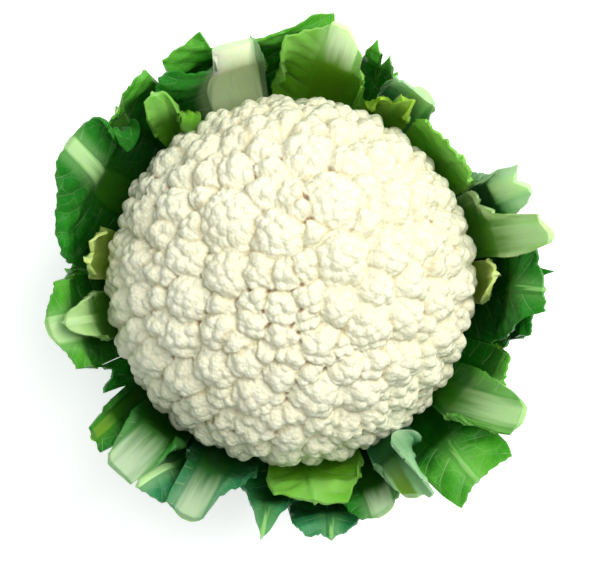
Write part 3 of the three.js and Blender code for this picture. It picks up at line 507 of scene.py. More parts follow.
# %% The table of leaves
LEAVES = [
    dict(name="leaf_01", tone="dark", midrib="cream", layer=1,
         rib=(107, 104.3, .020), sides=(97.2, 132.5), curl=(-.001, .002),
         edge=[(96.6, .099), (98, .1095), (99, .1105), (109, .1105), (110, .102), (116, .1035),
               (119, .107), (123, .107), (128, .0985)]),
    dict(name="leaf_02", tone="mid", midrib="thin", layer=2,
         rib=(101, 99, .004), sides=(76, 121.8), curl=(.003, .002),
         edge=[(78, .100), (79.5, .109), (80.7, .1195), (85, .119), (91, .111), (98, .1095),
               (104, .111), (109, .1115), (110.2, .1195), (113, .117), (117, .1145),
               (120.5, .1125), (121.5, .105)]),
    dict(name="leaf_03", tone="bright", midrib="white", layer=1,
         rib=(80, 77.5, .0144), sides=(66, 95.8), curl=(-.001, .001),
         roll=((.009, 140), (.008, 130)),
         edge=[(67, .088), (69, .099), (71.8, .102), (72.5, .1065), (74, .1095), (77, .115),
               (81, .1165), (82, .1145), (91, .1085), (95, .100)]),
    dict(name="leaf_04", tone="mid", midrib="thin", layer=2,
         rib=(60, 63, .003), sides=(46, 74.5), curl=(0, .004),
         edge=[(47, .088), (52, .095), (60, .1025), (64, .1035), (65, .1085), (66.3, .111),
               (67.5, .1035), (68.5, .111), (70.4, .115), (71.8, .1085), (73, .101)]),
    dict(name="leaf_05", tone="bluish", midrib="pale", layer=1,
         rib=(56, 54.5, .011), sides=(46.5, 64.8), curl=(.001, 0),
         edge=[(49.3, .0955), (50.6, .1015), (53, .1015), (58, .102), (63, .104), (64.5, .0965)]),
    dict(name="leaf_06", tone="lime", midrib="thin", layer=0,
         rib=(61, 59, .004), sides=(53.5, 67.5), curl=(-.002, -.001),
         roll=((.005, 120), (.006, 150)),
         edge=[(53.6, .0945), (56, .098), (58, .095), (60.5, .092), (64, .093), (67, .091)]),
    dict(name="leaf_07", tone="bright", midrib="thin", layer=0,
         rib=(40, 36, .004), sides=(27.5, 52.3), curl=(-.001, -.0015),
         edge=[(29, .094), (31, .0955), (36, .0945), (43, .094), (47, .094), (50, .094),
               (52, .092)]),
    dict(name="leaf_08", tone="bluish", midrib="pale", layer=1,
         rib=(24, 23, .010), sides=(14.5, 33), curl=(.001, 0), roll=((0, 0), (.006, 170)),
         edge=[(16, .098), (17, .1065), (18.2, .112), (20, .115), (21.5, .1155), (24, .111),
               (27.3, .1155), (28.4, .107), (30.5, .094)]),
    dict(name="leaf_09", tone="pale", midrib="pale", layer=0,
         rib=(12, 10.5, .012), sides=(7, 27), curl=(0, 0),
         edge=[(6.3, .100), (6.8, .110), (7.6, .116), (9, .1175), (10.5, .1175), (13.2, .1145),
               (15.2, .114), (16.2, .106), (18.5, .096), (22, .093), (26.5, .092)]),
    dict(name="leaf_10", tone="dark", midrib="thin", layer=1,
         rib=(-1, -2, .004), sides=(-17, 13.5), curl=(.002, 0),
         edge=[(-16, .098), (-12.5, .1025), (-10, .105), (-8, .1095), (-6.8, .1145), (-3, .113),
               (1, .1125), (4, .1105), (8, .110), (12, .0985)]),
    dict(name="leaf_11", tone="dark", midrib="thin", layer=2,
         rib=(-7, -5.5, .004), sides=(-22, 9), curl=(.002, .003),
         edge=[(-20, .098), (-15, .104), (-13, .1105), (-9, .1105), (-6.5, .1125), (0, .1085),
               (2.2, .1175), (3.4, .1095), (8, .098)]),
    dict(name="leaf_12", tone="mid", midrib="thin", layer=1,
         rib=(-26, -26, .004), sides=(-35, -17.7), curl=(.002, -.001),
         edge=[(-34, .099), (-32, .109), (-31, .1105), (-29, .107), (-26, .1055), (-19, .105),
               (-17.7, .098)]),
    dict(name="leaf_13", tone="mid", midrib="pale", layer=0,
         rib=(-37.5, -30.5, .012), sides=(-41.5, -25), curl=(0, 0),
         edge=[(-38, .098), (-36.3, .113), (-35, .1185), (-32, .1195), (-28.5, .1185),
               (-26.8, .1135), (-25.3, .097)]),
    dict(name="leaf_14", tone="mid", midrib="thin", layer=1,
         rib=(-46, -47, .004), sides=(-56, -36), curl=(.003, .002),
         edge=[(-55.8, .108), (-54.8, .1175), (-53.2, .126), (-51, .1245), (-48, .1225),
               (-45, .1225), (-40, .1235), (-38.3, .1245), (-36.7, .119), (-36.1, .108)]),
    dict(name="leaf_15", tone="bluish", midrib="olive", layer=0,
         rib=(-62, -61, .008), sides=(-66, -50.5), curl=(0, 0), roll=((0, 0), (.016, 160)),
         edge=[(-64.5, .093), (-63.5, .104), (-62.5, .1085), (-58, .113), (-57.5, .115),
               (-54.5, .116), (-53, .111), (-51.5, .096)]),
    dict(name="leaf_16", tone="dark", midrib="ashen", layer=1,
         rib=(-67, -68, .012), sides=(-79, -57), curl=(0, .001),
         edge=[(-78, .098), (-76, .106), (-73.5, .111), (-70, .1115), (-66, .1095),
               (-63.5, .107), (-58.5, .097)]),
    dict(name="leaf_17", tone="bright", midrib="thin", layer=0,
         rib=(-84, -84, .004), sides=(-97, -68), curl=(-.001, -.001),
         edge=[(-96.5, .092), (-94.5, .096), (-90, .0975), (-84, .0995), (-79, .1015),
               (-75.5, .1015), (-73.5, .097), (-70.5, .091)]),
    dict(name="leaf_18", tone="blue", midrib="thin", layer=2,
         rib=(-78, -81, .004), sides=(-94, -62), curl=(.002, .001),
         edge=[(-92, .098), (-90, .108), (-88, .113), (-85.5, .115), (-83.3, .114),
               (-82, .1165), (-80, .116), (-76.5, .1145), (-72, .106), (-66, .098)]),
    dict(name="leaf_19", tone="blue", midrib="thin", layer=1,
         rib=(-94, -96.5, .0035), sides=(-108, -81), curl=(-.001, .001),
         edge=[(-107, .094), (-102, .0975), (-99, .1055), (-96.7, .117), (-95.3, .115),
               (-93, .106), (-90, .100), (-86, .097), (-82, .093)]),
    dict(name="leaf_20", tone="blue", midrib="ashen", layer=0,
         rib=(-111.5, -114, .012), sides=(-121, -100), curl=(0, 0),
         edge=[(-120.5, .092), (-120, .107), (-119.5, .1115), (-118, .1125), (-115, .114),
               (-112.5, .114), (-110.3, .1125), (-108.6, .101), (-103, .0915)]),
    dict(name="leaf_21", tone="blue", midrib="pale", layer=1,
         rib=(-118, -127, .0035), sides=(-135, -110), curl=(0, .001),
         edge=[(-134, .100), (-130, .107), (-127.5, .113), (-126.5, .1155), (-123.5, .115),
               (-120, .1135), (-117, .110), (-111, .0985)]),
    dict(name="leaf_22", tone="dark", midrib="ashen", layer=0,
         rib=(-131, -132.2, .016), sides=(-141, -123), curl=(0, 0), roll=((0, 0), (.009, 150)),
         edge=[(-140.5, .093), (-138.5, .103), (-136.7, .112), (-135, .1145), (-130, .1145),
               (-128, .115), (-127, .108), (-124, .092)]),
    dict(name="leaf_23", tone="dark", midrib="olive", layer=1,
         rib=(-144, -142, .006), sides=(-156, -136.5), curl=(0, 0),
         edge=[(-156, .098), (-154, .0915), (-151.5, .093), (-150, .098), (-149, .098),
               (-147.7, .0905), (-146.3, .0905), (-145, .104), (-144, .111), (-141, .113),
               (-138, .115), (-137, .107)]),
    dict(name="leaf_24", tone="mid", midrib="pale", layer=1,
         rib=(-168, -168, .014), sides=(-182, -156.2), curl=(.001, .001),
         edge=[(-181, .099), (-180, .107), (-177, .108), (-174, .1113), (-170, .1113),
               (-167, .110), (-163, .1065), (-160, .104), (-157.5, .1035), (-156.4, .098)]),
    dict(name="leaf_25", tone="dark", midrib="thin", layer=2,
         rib=(-182, -183, .004), sides=(-197, -168), curl=(.001, 0),
         edge=[(-196, .097), (-192, .102), (-189, .103), (-187.3, .1045), (-186, .100),
               (-183.4, .0995), (-181, .103), (-176, .101), (-170, .096)]),
    dict(name="leaf_26", tone="dark", midrib="pale", layer=1,
         rib=(-206, -212, .008), sides=(-225.5, -184.5), curl=(.001, .001),
         roll=((.011, 160), (0, 0)),
         edge=[(-224.5, .101), (-223.5, .111), (-222, .115), (-219, .116), (-213, .117),
               (-207, .118), (-204, .1155), (-200, .1108), (-196, .1075), (-189, .1037),
               (-186, .1015)]),
    dict(name="leaf_27", tone="mid", midrib="thin", layer=2,
         rib=(-222, -225, .004), sides=(-236.3, -206), curl=(.002, 0),
         edge=[(-236.2, .107), (-235.5, .114), (-228, .1133), (-225.5, .107), (-220, .1085),
               (-214, .104), (-208, .098)]),
    dict(name="young_leaf_1", tone="bright", midrib="thin", layer=0,
         rib=(-231, -234, .004), sides=(-241, -227), curl=(0, 0), roll=((.009, 190), (0, 0)),
         edge=[(-240, .091), (-238.5, .097), (-236.5, .101), (-233, .1035), (-230.5, .103),
               (-228.5, .097), (-227.5, .091)]),
    dict(name="young_leaf_2", tone="pale", midrib="pale", layer=0,
         rib=(-169, -169.5, .004), sides=(-177, -162), curl=(-.002, -.002),
         edge=[(-175.5, .0915), (-174, .096), (-172.5, .100), (-171, .1025), (-169.5, .1035),
               (-168, .1025), (-166.6, .100), (-165, .096), (-163.6, .0915)]),
    dict(name="young_leaf_3", tone="young", midrib="young", layer=0,
         rib=(-187, -186, .004), sides=(-196, -180.5), curl=(-.001, -.001), lean=.0035,
         edge=[(-194.5, .092), (-191, .094), (-188, .093), (-185, .0945), (-182, .092)]),
    dict(name="young_leaf_4", tone="young", midrib="young", layer=0,
         rib=(2, 2, .004), sides=(-7, 6.2), curl=(-.001, -.001), lean=.003,
         edge=[(-6, .0915), (-3.5, .0935), (0, .0945), (3, .0945), (5.8, .0925)]),
]
print("leaves:", len(LEAVES))


# %% The sweep that they follow
def on_sweep(bearing, along, out):
    """Points a length along the sweep and a distance outside it: a bowl, then a flare."""
    rise, upright, hug, flare = SWEEP["rise"], SWEEP["upright"], SWEEP["hug"], SWEEP["flare"]
    a = np.radians(bearing)
    end = np.radians(SWEEP["open"] + 5 * np.sin(2 * a + 0.6) + 4 * np.sin(5 * a + 1.9))
    bowl = hug * (upright - rise)
    before = np.minimum(along, 0)
    past = np.maximum(along - bowl, 0)
    climb = rise + np.clip(along, 0, bowl) / hug
    lean = upright - np.minimum(past, flare * (upright - end)) / flare
    straight = np.maximum(past - flare * (upright - end), 0)
    slope = np.where(past > 0, lean, climb)
    r = SWEEP["start"] + before * np.cos(rise) + hug * (np.sin(climb) - np.sin(rise))
    r = r + flare * (np.sin(upright) - np.sin(lean)) + straight * np.cos(end) + out * np.sin(slope)
    z = SWEEP["height"] + before * np.sin(rise) + hug * (np.cos(rise) - np.cos(climb))
    z = z + flare * (np.cos(lean) - np.cos(upright)) + straight * np.sin(end) - out * np.cos(slope)
    return np.stack([r * np.cos(a), r * np.sin(a), z], axis=-1)


def length_at(bearing, reach, out):
    """Length along the sweep at which a layer is that far from the axis, by halving."""
    low = np.full(np.shape(bearing), -0.02)
    high = np.full(np.shape(bearing), 0.22)
    for _ in range(30):
        middle = (low + high) / 2
        place = on_sweep(bearing, middle, out)
        short = np.hypot(place[..., 0], place[..., 1]) < reach
        low = np.where(short, middle, low)
        high = np.where(short, high, middle)
    return low


def shared_wave(bearing, along):
    """Waves that all leaves share, so that neighbours nest and never cross."""
    a = np.radians(bearing)
    tall = 1.8 * np.sin(9 * a + along / 0.018) + 0.9 * np.sin(14 * a - along / 0.014 + 1)
    return ease(along, 0.060, 0.130) * tall * MM


# %% Where a leaf's sides and rib run
def foot_half(leaf):
    """Half of a leaf's width at the stem, in degrees."""
    return min(14, leaf["rib"][0] - leaf["sides"][0], leaf["sides"][1] - leaf["rib"][0])


def limits_at(leaf, v, reach, inset):
    """Bearings of low side, rib's two edges and high side, `v` of the way up the leaf."""
    foot = foot_half(leaf)
    outline = []
    for way, side, end in ((-1, 0, 0), (1, 1, -1)):
        wide = leaf["sides"][side]
        rising = mix(leaf["rib"][0] + way * foot, wide, np.sin(np.pi / 2 * np.minimum(v / WIDEST, 1)))
        closing = mix(wide, leaf["edge"][end][0], ease(v, WIDEST, 1))
        outline.append(np.where(v < WIDEST, rising, closing))
    middle = mix(leaf["rib"][0], leaf["rib"][1], v * v)
    half = mix(RIB_FOOT * foot, np.degrees(leaf["rib"][2] / 2 / reach), np.minimum(1, v * RIB_NARROWS))
    rib_low = np.maximum(middle - half, outline[0] + inset)
    rib_high = np.minimum(middle + half, outline[1] - inset)
    return [outline[0], rib_low, rib_high, outline[1]]


def bearing_in(limits, zone, part):
    return mix(np.choose(zone, limits[:3]), np.choose(zone, limits[1:]), part)


# %% Sides that roll in
ROLL_RANGE = (0.6, 0.92)  # how far up a leaf a roll begins, and where it is complete


def roll_in(leaf, zone, part, blade_width, v):
    """How a rolled side moves its points: back to the rib, in over the leaf, and the turn there."""
    back, over, turned = np.zeros(v.shape), np.zeros(v.shape), np.zeros(v.shape)
    for (width, turn), side in zip(leaf.get("roll", ()), (0, 2)):
        across = 1 - part if side == 0 else part
        past = np.where(zone == side, across * blade_width - np.maximum(0, blade_width - width), 0)
        whole = math.radians(turn) * ease(v, *ROLL_RANGE)
        rolled = (past > 0) & (whole > 0.01)
        radius = np.minimum(max(width, MM), np.maximum(blade_width, MM)) / np.maximum(whole, 0.01)
        angle = np.where(rolled, past / radius, 0)
        turned = turned + angle
        back = back + np.where(rolled, past - radius * np.sin(angle), 0)
        over = over + np.where(rolled, radius * (1 - np.cos(angle)), 0)
    return back, over, turned


# %% [markdown]
# ## A leaf's grid
# A leaf has three zones across: the low blade, the midrib and the high blade. Each zone gets its
# share of the columns, a little over a millimetre apart, and a column is moved onto each corner of
# the cut edge that it lies near, so that the corners stay sharp. The rows stand closer together
# towards the cut end, where the leaf shows.

# %% Columns and rows
CELL = 0.0013
SNAP = 0.6  # how far a column may move onto a corner, in columns
ROWS_BELOW = 46
ROWS_ABOVE = 44


def leaf_columns(leaf):
    """Zone and part of each column, with one on each corner of the cut edge that it lies near."""
    last = leaf["edge"][-1][1]
    widest = [float(x) for x in limits_at(leaf, np.array(WIDEST), last, 0)]
    ends = [float(x) for x in limits_at(leaf, np.array(1.0), last, 0)]
    zones, parts = [], []
    for zone in range(3):
        span = max(widest[zone + 1] - widest[zone], ends[zone + 1] - ends[zone])
        count = max(5, round(math.radians(span) * last / CELL))
        first = 0 if zone == 0 else 1
        zones += [zone] * (count + 1 - first)
        parts += [i / count for i in range(first, count + 1)]
    zones, parts = np.array(zones), np.array(parts)
    for corner, _ in leaf["edge"][1:-1]:
        zone = 0 if corner < ends[1] else 1 if corner < ends[2] else 2
        part = (corner - ends[zone]) / (ends[zone + 1] - ends[zone])
        inside = np.flatnonzero((zones == zone) & (parts < 1) & (parts > 0))
        column = inside[np.argmin(np.abs(parts[inside] - part))]
        room = SNAP * (parts[inside[-1]] - parts[inside[0]]) / max(1, len(inside) - 1)
        if abs(parts[column] - part) < room:
            parts[column] = part
    return zones, parts


LEVELS = np.concatenate([np.linspace(0, WIDEST, ROWS_BELOW + 1)[:-1], np.linspace(WIDEST, 1, ROWS_ABOVE)])


# %% A leaf laid out on its grid
TEAR = ((0.0041, 0.0003), (0.0023, 0.0002))


def lay_out(leaf, seed):
    """Where every grid point lies: bearing and length along the sweep, and its place on the leaf."""
    zone, part = leaf_columns(leaf)
    v = np.broadcast_to(LEVELS[:, None], (len(LEVELS), len(zone)))
    zone = np.broadcast_to(zone, v.shape)
    part = np.broadcast_to(part, v.shape)
    last = leaf["edge"][-1][1]
    out = leaf["layer"] * LAYER_STEP
    guess = mix(STEM["top_radius"], last, v)
    limits = limits_at(leaf, v, guess, 1.0)
    bearing = bearing_in(limits, zone, part)
    end_bearing = bearing_in(limits_at(leaf, np.ones_like(v), last, 0), zone, part)
    edge = np.array(leaf["edge"])
    reach = np.interp(end_bearing, edge[:, 0], edge[:, 1])
    if not leaf["name"].startswith("young"):
        reach = reach + np.where(zone == 1, 0, ripples(seed, np.radians(end_bearing) * 0.1, 0, *TEAR))
    stem_radius = mix(STEM["cut_radius"], STEM["top_radius"], (SWEEP["height"] - out) / STEM["height"])
    foot = length_at(bearing, stem_radius + BLADE["base"] / 2 + GAP, out)
    end = length_at(bearing, reach, out)
    level = LEVEL * min(float(length_at(np.array(b), r, out)) for b, r in leaf["edge"])
    rising = mix(foot, level, v / WIDEST)
    closing = mix(level, end, (v - WIDEST) / (1 - WIDEST))
    past_rib = np.maximum(0, np.maximum(limits[1] - bearing, bearing - limits[2]))
    width = np.radians(np.choose(zone, limits[1:]) - np.choose(zone, limits[:3])) * guess
    return dict(
        zone=zone, part=part, v=v, out=out, bearing=bearing, along=np.where(v < WIDEST, rising, closing),
        end=end, from_rib=np.radians(past_rib) * guess, width=width, guess=guess,
        aside=np.radians(bearing - (limits[1] + limits[2]) / 2) * guess)


# %% [markdown]
# ## Relief of a leaf
# The side veins leave the rib at a slant, about a finger's width apart. On the underside they stand
# out as ridges, on the upper face they lie in shallow grooves, and the blade swells between them.
# All of this is worked out as two depths at every grid point: how far the upper face lies from the
# sweep, and how thick the leaf is there.

# %% Veins, puckers and thickness
VEIN = dict(apart=0.0125, slant=0.9, width=0.0010, height=0.0006, groove=0.0003)
PUCKER = 0.00035
CRINKLE = ((0.024, 0.0006), (0.013, 0.0003), (0.007, 0.0001))


def vein_order(lie, seed):
    """A number that is whole on each side vein, and that runs on evenly over the midrib."""
    past_low = np.where(lie["zone"] == 1, lie["part"], np.where(lie["zone"] == 2, 1, 0))
    order = (lie["along"] - VEIN["slant"] * lie["from_rib"]) / VEIN["apart"]
    return order + 0.5 * ease(past_low, 0, 1) + seed * 0.37 + 0.15 * np.sin(lie["from_rib"] / 0.006 + seed)


def relief(leaf, lie, seed):
    """Where the upper face lies, and how thick the leaf is, at each grid point."""
    zone, part, v, along, from_rib = (lie[k] for k in ("zone", "part", "v", "along", "from_rib"))
    on_blade = np.where(zone == 1, 0.0, 1.0)
    order = vein_order(lie, seed)
    off_vein = np.abs(order - np.round(order)) * VEIN["apart"] * 0.75
    width = VEIN["width"] * mix(1.3, 0.6, np.clip(from_rib / 0.025, 0, 1))
    vein = np.exp(-((off_vein / width) ** 2)) * ease(v, 0.25, 0.6)
    vein = np.maximum(vein, np.exp(-((from_rib / 0.0012) ** 2))) * on_blade
    free = ease(from_rib, 0.001, 0.008) * ease(v, 0.35, 0.7)
    uneven = PUCKER * np.cos(2 * np.pi * order) * free
    uneven = uneven + ripples(seed, lie["aside"], along, *CRINKLE) * free

    across = np.where(zone == 1, 2 * part - 1, 1)
    deep = OUTERMOST_RIB if leaf["layer"] == OUTERMOST else 1
    bulge = deep * mix(RIB_DEPTH["base"], RIB_DEPTH["end"], v) * np.sqrt(np.maximum(0, 1 - across**2))
    raised = RIB_RAISE * (1 - across**2) * v
    from_low = np.where(zone == 0, 1 - part, 0)
    from_high = np.where(zone == 2, part, 0)
    curl = (leaf["curl"][0] * from_low**2 + leaf["curl"][1] * from_high**2) * v**4
    blade = mix(BLADE["base"], BLADE["end"], v)
    inward = blade / 2 + raised - VEIN["groove"] * vein
    back, over, turned = roll_in(leaf, zone, part, lie["width"], v)
    lean = leaf.get("lean", 0) * v**4
    middle = lie["out"] + shared_wave(lie["bearing"], along) + curl + uneven - over - lean
    aside = np.degrees(back + inward * np.sin(turned)) / lie["guess"]
    bearing = lie["bearing"] - (zone - 1) * aside
    upper = on_sweep(bearing, along, middle - inward * np.cos(turned))
    return upper, blade + raised + bulge + VEIN["height"] * vein, order


# %% [markdown]
# ## Growing one leaf
# The grid primitive is added, its points are wrapped on the sweep, and its faces are turned to look
# at the head, because Solidify grows away from the side that a face looks to. Solidify can also give
# the new back face and the rim their own material slots, so one leaf gets an upper face, a paler
# underside and a moist cut. The UV map holds real lengths, across and along the leaf, for patterns
# that follow it.

# %% One leaf from a grid
UV_METRE = 10.0  # UV units in a metre


def wrap_in_lengths(piece, across, along):
    layer = piece.data.uv_layers.active or piece.data.uv_layers.new(name="lengths")
    corners = np.empty(len(piece.data.loops), dtype=np.int32)
    piece.data.loops.foreach_get("vertex_index", corners)
    flat = np.stack([across.ravel(), along.ravel()], axis=1)[corners] * UV_METRE
    layer.data.foreach_set("uv", flat.astype(np.float32).ravel())


def grow_leaf(leaf, seed):
    lie = lay_out(leaf, seed)
    upper, thickness, order = relief(leaf, lie, seed)
    rows, columns = thickness.shape
    deselect_all()
    bpy.ops.mesh.primitive_grid_add(x_subdivisions=columns - 1, y_subdivisions=rows - 1, size=1)
    piece = bpy.context.active_object
    piece.name = leaf["name"] + "_grown"
    move_points(piece, upper.reshape(-1, 3))
    bpy.ops.object.mode_set(mode="EDIT")
    bpy.ops.mesh.select_all(action="SELECT")
    bpy.ops.mesh.flip_normals()
    bpy.ops.object.mode_set(mode="OBJECT")
    crown = np.where(lie["zone"] == 1, 1 - (2 * lie["part"] - 1) ** 2, 0)
    write_attribute(piece, "rib", np.sqrt(crown))
    write_attribute(piece, "order", order)
    write_attribute(piece, "from_rib", lie["from_rib"])
    write_attribute(piece, "from_cut", lie["end"] - lie["along"])
    wrap_in_lengths(piece, lie["aside"], lie["along"])

    most = float(thickness.max())
    group = piece.vertex_groups.new(name="thickness")
    for i, share in enumerate((thickness / most).ravel().tolist()):
        group.add([i], share, "REPLACE")
    thicken = piece.modifiers.new("thicken", "SOLIDIFY")
    thicken.thickness = most
    thicken.offset = -1
    thicken.vertex_group = "thickness"
    thicken.material_offset = 1
    thicken.material_offset_rim = 2
    bpy.ops.object.modifier_apply(modifier="thicken")
    piece.vertex_groups.clear()
    bpy.ops.object.shade_smooth_by_angle(angle=math.radians(50))
    return piece


# %% [markdown]
# ## Leaf finishes
# A leaf's upper face is green with paler veins and a broad, smooth rib. Deep in the bowl the green is
# darkest, as painted shade for the shadow of the head and the outer leaves. It grows lighter towards the
# cut end, and the rib fades from a painted olive shade to cream; the cream rib is instead kept light deep
# in the bowl, as painted light. The underside is duller and bluer, because of a waxy bloom. The leaves of
# one head differ in tone, so one recipe is used with a row of tones and a row of midribs. Distances that
# the mesh carries, from the rib, from the next side vein and from the cut, let the shader draw veins that
# are much finer than the mesh. Light goes further into the pale, juicy ribs than into the blades, so
# subsurface scattering is strongest on the ribs.

# %% Tones of the blades and of the midribs
# Each tone: its painted shade deep in the bowl, the blade's two greens, the underside, and how much the
# veins show.
TONES = {
    "dark": (colour(0.002, 0.075, 0.002), colour(0.004, 0.125, 0.005), colour(0.018, 0.200, 0.012),
             colour(0.230, 0.450, 0.240), 0.28),
    "blue": (colour(0.002, 0.070, 0.014), colour(0.008, 0.140, 0.048), colour(0.040, 0.230, 0.095),
             colour(0.240, 0.460, 0.280), 0.30),
    "mid": (colour(0.006, 0.120, 0.002), colour(0.028, 0.230, 0.007), colour(0.095, 0.360, 0.030),
            colour(0.270, 0.490, 0.240), 0.42),
    "bright": (colour(0.110, 0.340, 0.008), colour(0.110, 0.380, 0.018), colour(0.210, 0.500, 0.075),
               colour(0.310, 0.540, 0.260), 0.35),
    "lime": (colour(0.100, 0.290, 0.003), colour(0.200, 0.430, 0.010), colour(0.330, 0.560, 0.045),
             colour(0.400, 0.580, 0.220), 0.20),
    "bluish": (colour(0.030, 0.190, 0.060), colour(0.220, 0.460, 0.220), colour(0.380, 0.600, 0.360),
               colour(0.420, 0.640, 0.410), 0.30),
    "pale": (colour(0.060, 0.220, 0.010), colour(0.230, 0.460, 0.100), colour(0.420, 0.620, 0.270),
             colour(0.380, 0.590, 0.300), 0.22),
    "young": (colour(0.260, 0.420, 0.030), colour(0.430, 0.580, 0.130), colour(0.560, 0.690, 0.240),
              colour(0.500, 0.650, 0.230), 0.10),
}
# Each midrib: its colour deep in the bowl, which is painted shade (painted light for the cream rib), and
# at the cut end, where it starts to fade, how far up its round back its colour begins and is whole, and
# the blade's share in its colour deep down.
MIDRIBS = {
    "thin": (colour(0.020, 0.150, 0.008), colour(0.240, 0.460, 0.150), 0.040, (0.78, 0.97), 0.5),
    "olive": (colour(0.040, 0.140, 0.003), colour(0.120, 0.250, 0.020), 0.034, (0.10, 0.90), 0.6),
    "ashen": (colour(0.028, 0.110, 0.005), colour(0.390, 0.510, 0.330), 0.032, (0.00, 0.85), 0.6),
    "pale": (colour(0.080, 0.260, 0.014), colour(0.450, 0.640, 0.320), 0.044, (0.10, 0.90), 0.7),
    "white": (colour(0.120, 0.280, 0.008), colour(0.660, 0.770, 0.500), 0.030, (0.00, 0.80), 0.5),
    # The cream rib is as light deep in the bowl as at its cut: painted light, against the shade of the
    # bowl.
    "cream": (colour(0.760, 0.960, 0.540), colour(0.800, 0.880, 0.650), 0.044, (0.00, 0.65), 0.0),
    "young": (colour(0.340, 0.500, 0.080), colour(0.540, 0.680, 0.220), 0.030, (0.30, 0.95), 0.5),
}
VEIN_COLOUR = colour(0.42, 0.60, 0.32)
RIB_BACK = colour(0.43, 0.59, 0.27)  # a rib's round back, from the stem up
CREAM = colour(0.70, 0.78, 0.54)
GLOW = (0.0012, 0.0021, 0.0005)


def midrib_colour(f, streak, blade, inner, outer, fading, greened):
    """The rib: its colour deep in the bowl, painted shade on the upper face (olive, but painted light on
    the cream rib), pale at the cut, and streaked along its length.
    """
    wander = f.maths("MULTIPLY", f.maths("SUBTRACT", streak, 0.5), 0.026)
    fade = f.remap(f.maths("ADD", f.attribute("from_cut"), wander), fading, 0.001)
    plain = f.blend(fade, f.blend(greened, inner, blade), outer)
    return f.blend(f.remap(streak, 0.48, 0.75, 0.0, 0.20), plain, blade)


def vein_lines(f, where):
    """Fine lines: side veins that taper away from the rib, and the net between them."""
    from_rib = f.attribute("from_rib")
    off_vein = f.maths("PINGPONG", f.attribute("order"), 0.5)
    width = f.remap(from_rib, 0.0, 0.030, 0.045, 0.013)
    side_vein = f.maths("MULTIPLY", f.remap(f.maths("DIVIDE", off_vein, width), 1.0, 0.35),
                        f.remap(f.noise(where, 70.0, 2.0), 0.35, 0.62, 0.15, 0.85))
    branches = f.remap(f.cells(where, 105.0, "DISTANCE_TO_EDGE"), 0.030, 0.0)
    net = f.remap(f.cells(where, 330.0, "DISTANCE_TO_EDGE"), 0.08, 0.0)
    fine = f.maths("MAXIMUM", f.maths("MULTIPLY", branches, 0.35), f.maths("MULTIPLY", net, 0.15))
    return f.maths("MULTIPLY", f.maths("MAXIMUM", side_vein, fine), f.remap(from_rib, 0.0, 0.0004))


def leaf_face(name, deep, greens, veins, midrib, roughness):
    f = Finish(name)
    where = f.place()
    blade = f.blend(f.remap(f.noise(where, 45.0, 3.0), 0.35, 0.68), *greens)
    blade = f.blend(f.maths("MULTIPLY", f.noise(where, 600.0, 4.0), 0.25), blade, greens[1])
    # Painted shade on the upper face: more than about 34 mm in from the cut the colour turns to the tone's
    # deep colour, and near the cut it keeps the blade's greens.
    wander = f.maths("MULTIPLY", f.maths("SUBTRACT", f.noise(where, 60.0, 2.0), 0.5), 0.024)
    fade = f.remap(f.maths("ADD", f.attribute("from_cut"), wander), 0.034, 0.004)
    lines = vein_lines(f, where)
    grown = f.blend(fade, deep, blade)
    veined = f.blend(f.maths("MULTIPLY", lines, veins), grown, VEIN_COLOUR)
    inner, outer, fading, border, greened = midrib
    rib = f.attribute("rib")
    streak = f.noise(f.stretch(f.wrap(), 30.0, 1.6), 1.0, 2.0, 0.6)
    uneven = f.maths("MULTIPLY", rib, f.remap(streak, 0.30, 0.65, 1.20, 0.75))
    beside = f.maths("MULTIPLY", f.remap(f.attribute("from_rib"), 0.005, 0.0), 0.22)
    whole = f.blend(f.maths("MAXIMUM", beside, f.remap(uneven, *border)),
                    veined, midrib_colour(f, streak, grown, inner, outer, fading, greened))
    rim = f.maths("MULTIPLY", f.remap(f.attribute("from_cut"), 0.0012, 0.0), 0.3)
    height = f.maths("SUBTRACT", f.noise(where, 260.0, 4.0), f.maths("MULTIPLY", lines, 0.7))
    flat = f.maths("MULTIPLY", height, f.remap(rib, 0.4, 0.0, 0.2, 1.0))
    return f.surface({
        "Base Color": f.blend(rim, whole, greens[1]), "Roughness": roughness,
        "Specular IOR Level": 0.2, "Subsurface Weight": f.remap(rib, 0.0, 0.6, 0.2, 0.8),
        "Subsurface Radius": GLOW, "Subsurface Scale": 3.0,
        "Normal": f.bump(flat, 0.22 * MM, 0.6)})


def cut_rim(name, green, midrib):
    """The leaf's rim: a thin green edge on the blade, moist cream on the rib's cut end."""
    f = Finish(name)
    cells = f.noise(f.place(), 700.0, 3.0)
    cream = f.blend(cells, midrib[1], CREAM)
    edge = f.blend(f.maths("MULTIPLY", cells, 0.5), green, VEIN_COLOUR)
    return f.surface({
        "Base Color": f.blend(f.attribute("rib"), edge, cream), "Roughness": 0.38,
        "Subsurface Weight": 0.2, "Subsurface Radius": GLOW, "Subsurface Scale": 1.0,
        "Normal": f.bump(cells, 0.2 * MM, 0.6)})


def finishes_for(tone, midrib):
    """Upper face, underside and rim."""
    deep, green, light, back, veins = TONES[tone]
    name = tone + "_leaf_" + midrib + "_rib"
    rib = MIDRIBS[midrib]
    return (leaf_face(name + "_top", deep, (green, light), veins, rib, 0.42),
            leaf_face(name + "_back", back, (back, light), 0.5,
                      (RIB_BACK, rib[1], rib[2], (0, 0.8), 0.5), 0.5),
            cut_rim(name + "_cut", light, rib))


finishes = {pair: finishes_for(*pair) for pair in sorted({(x["tone"], x["midrib"]) for x in LEAVES})}
print("leaf finishes:", 3 * len(finishes))

# %% All the leaves
for seed, leaf in enumerate(LEAVES):
    piece = grow_leaf(leaf, seed)
    for finish in finishes[leaf["tone"], leaf["midrib"]]:
        piece.data.materials.append(finish)
    stand_for(piece, leaf["name"])
    print(piece.name, len(piece.data.polygons), "faces")

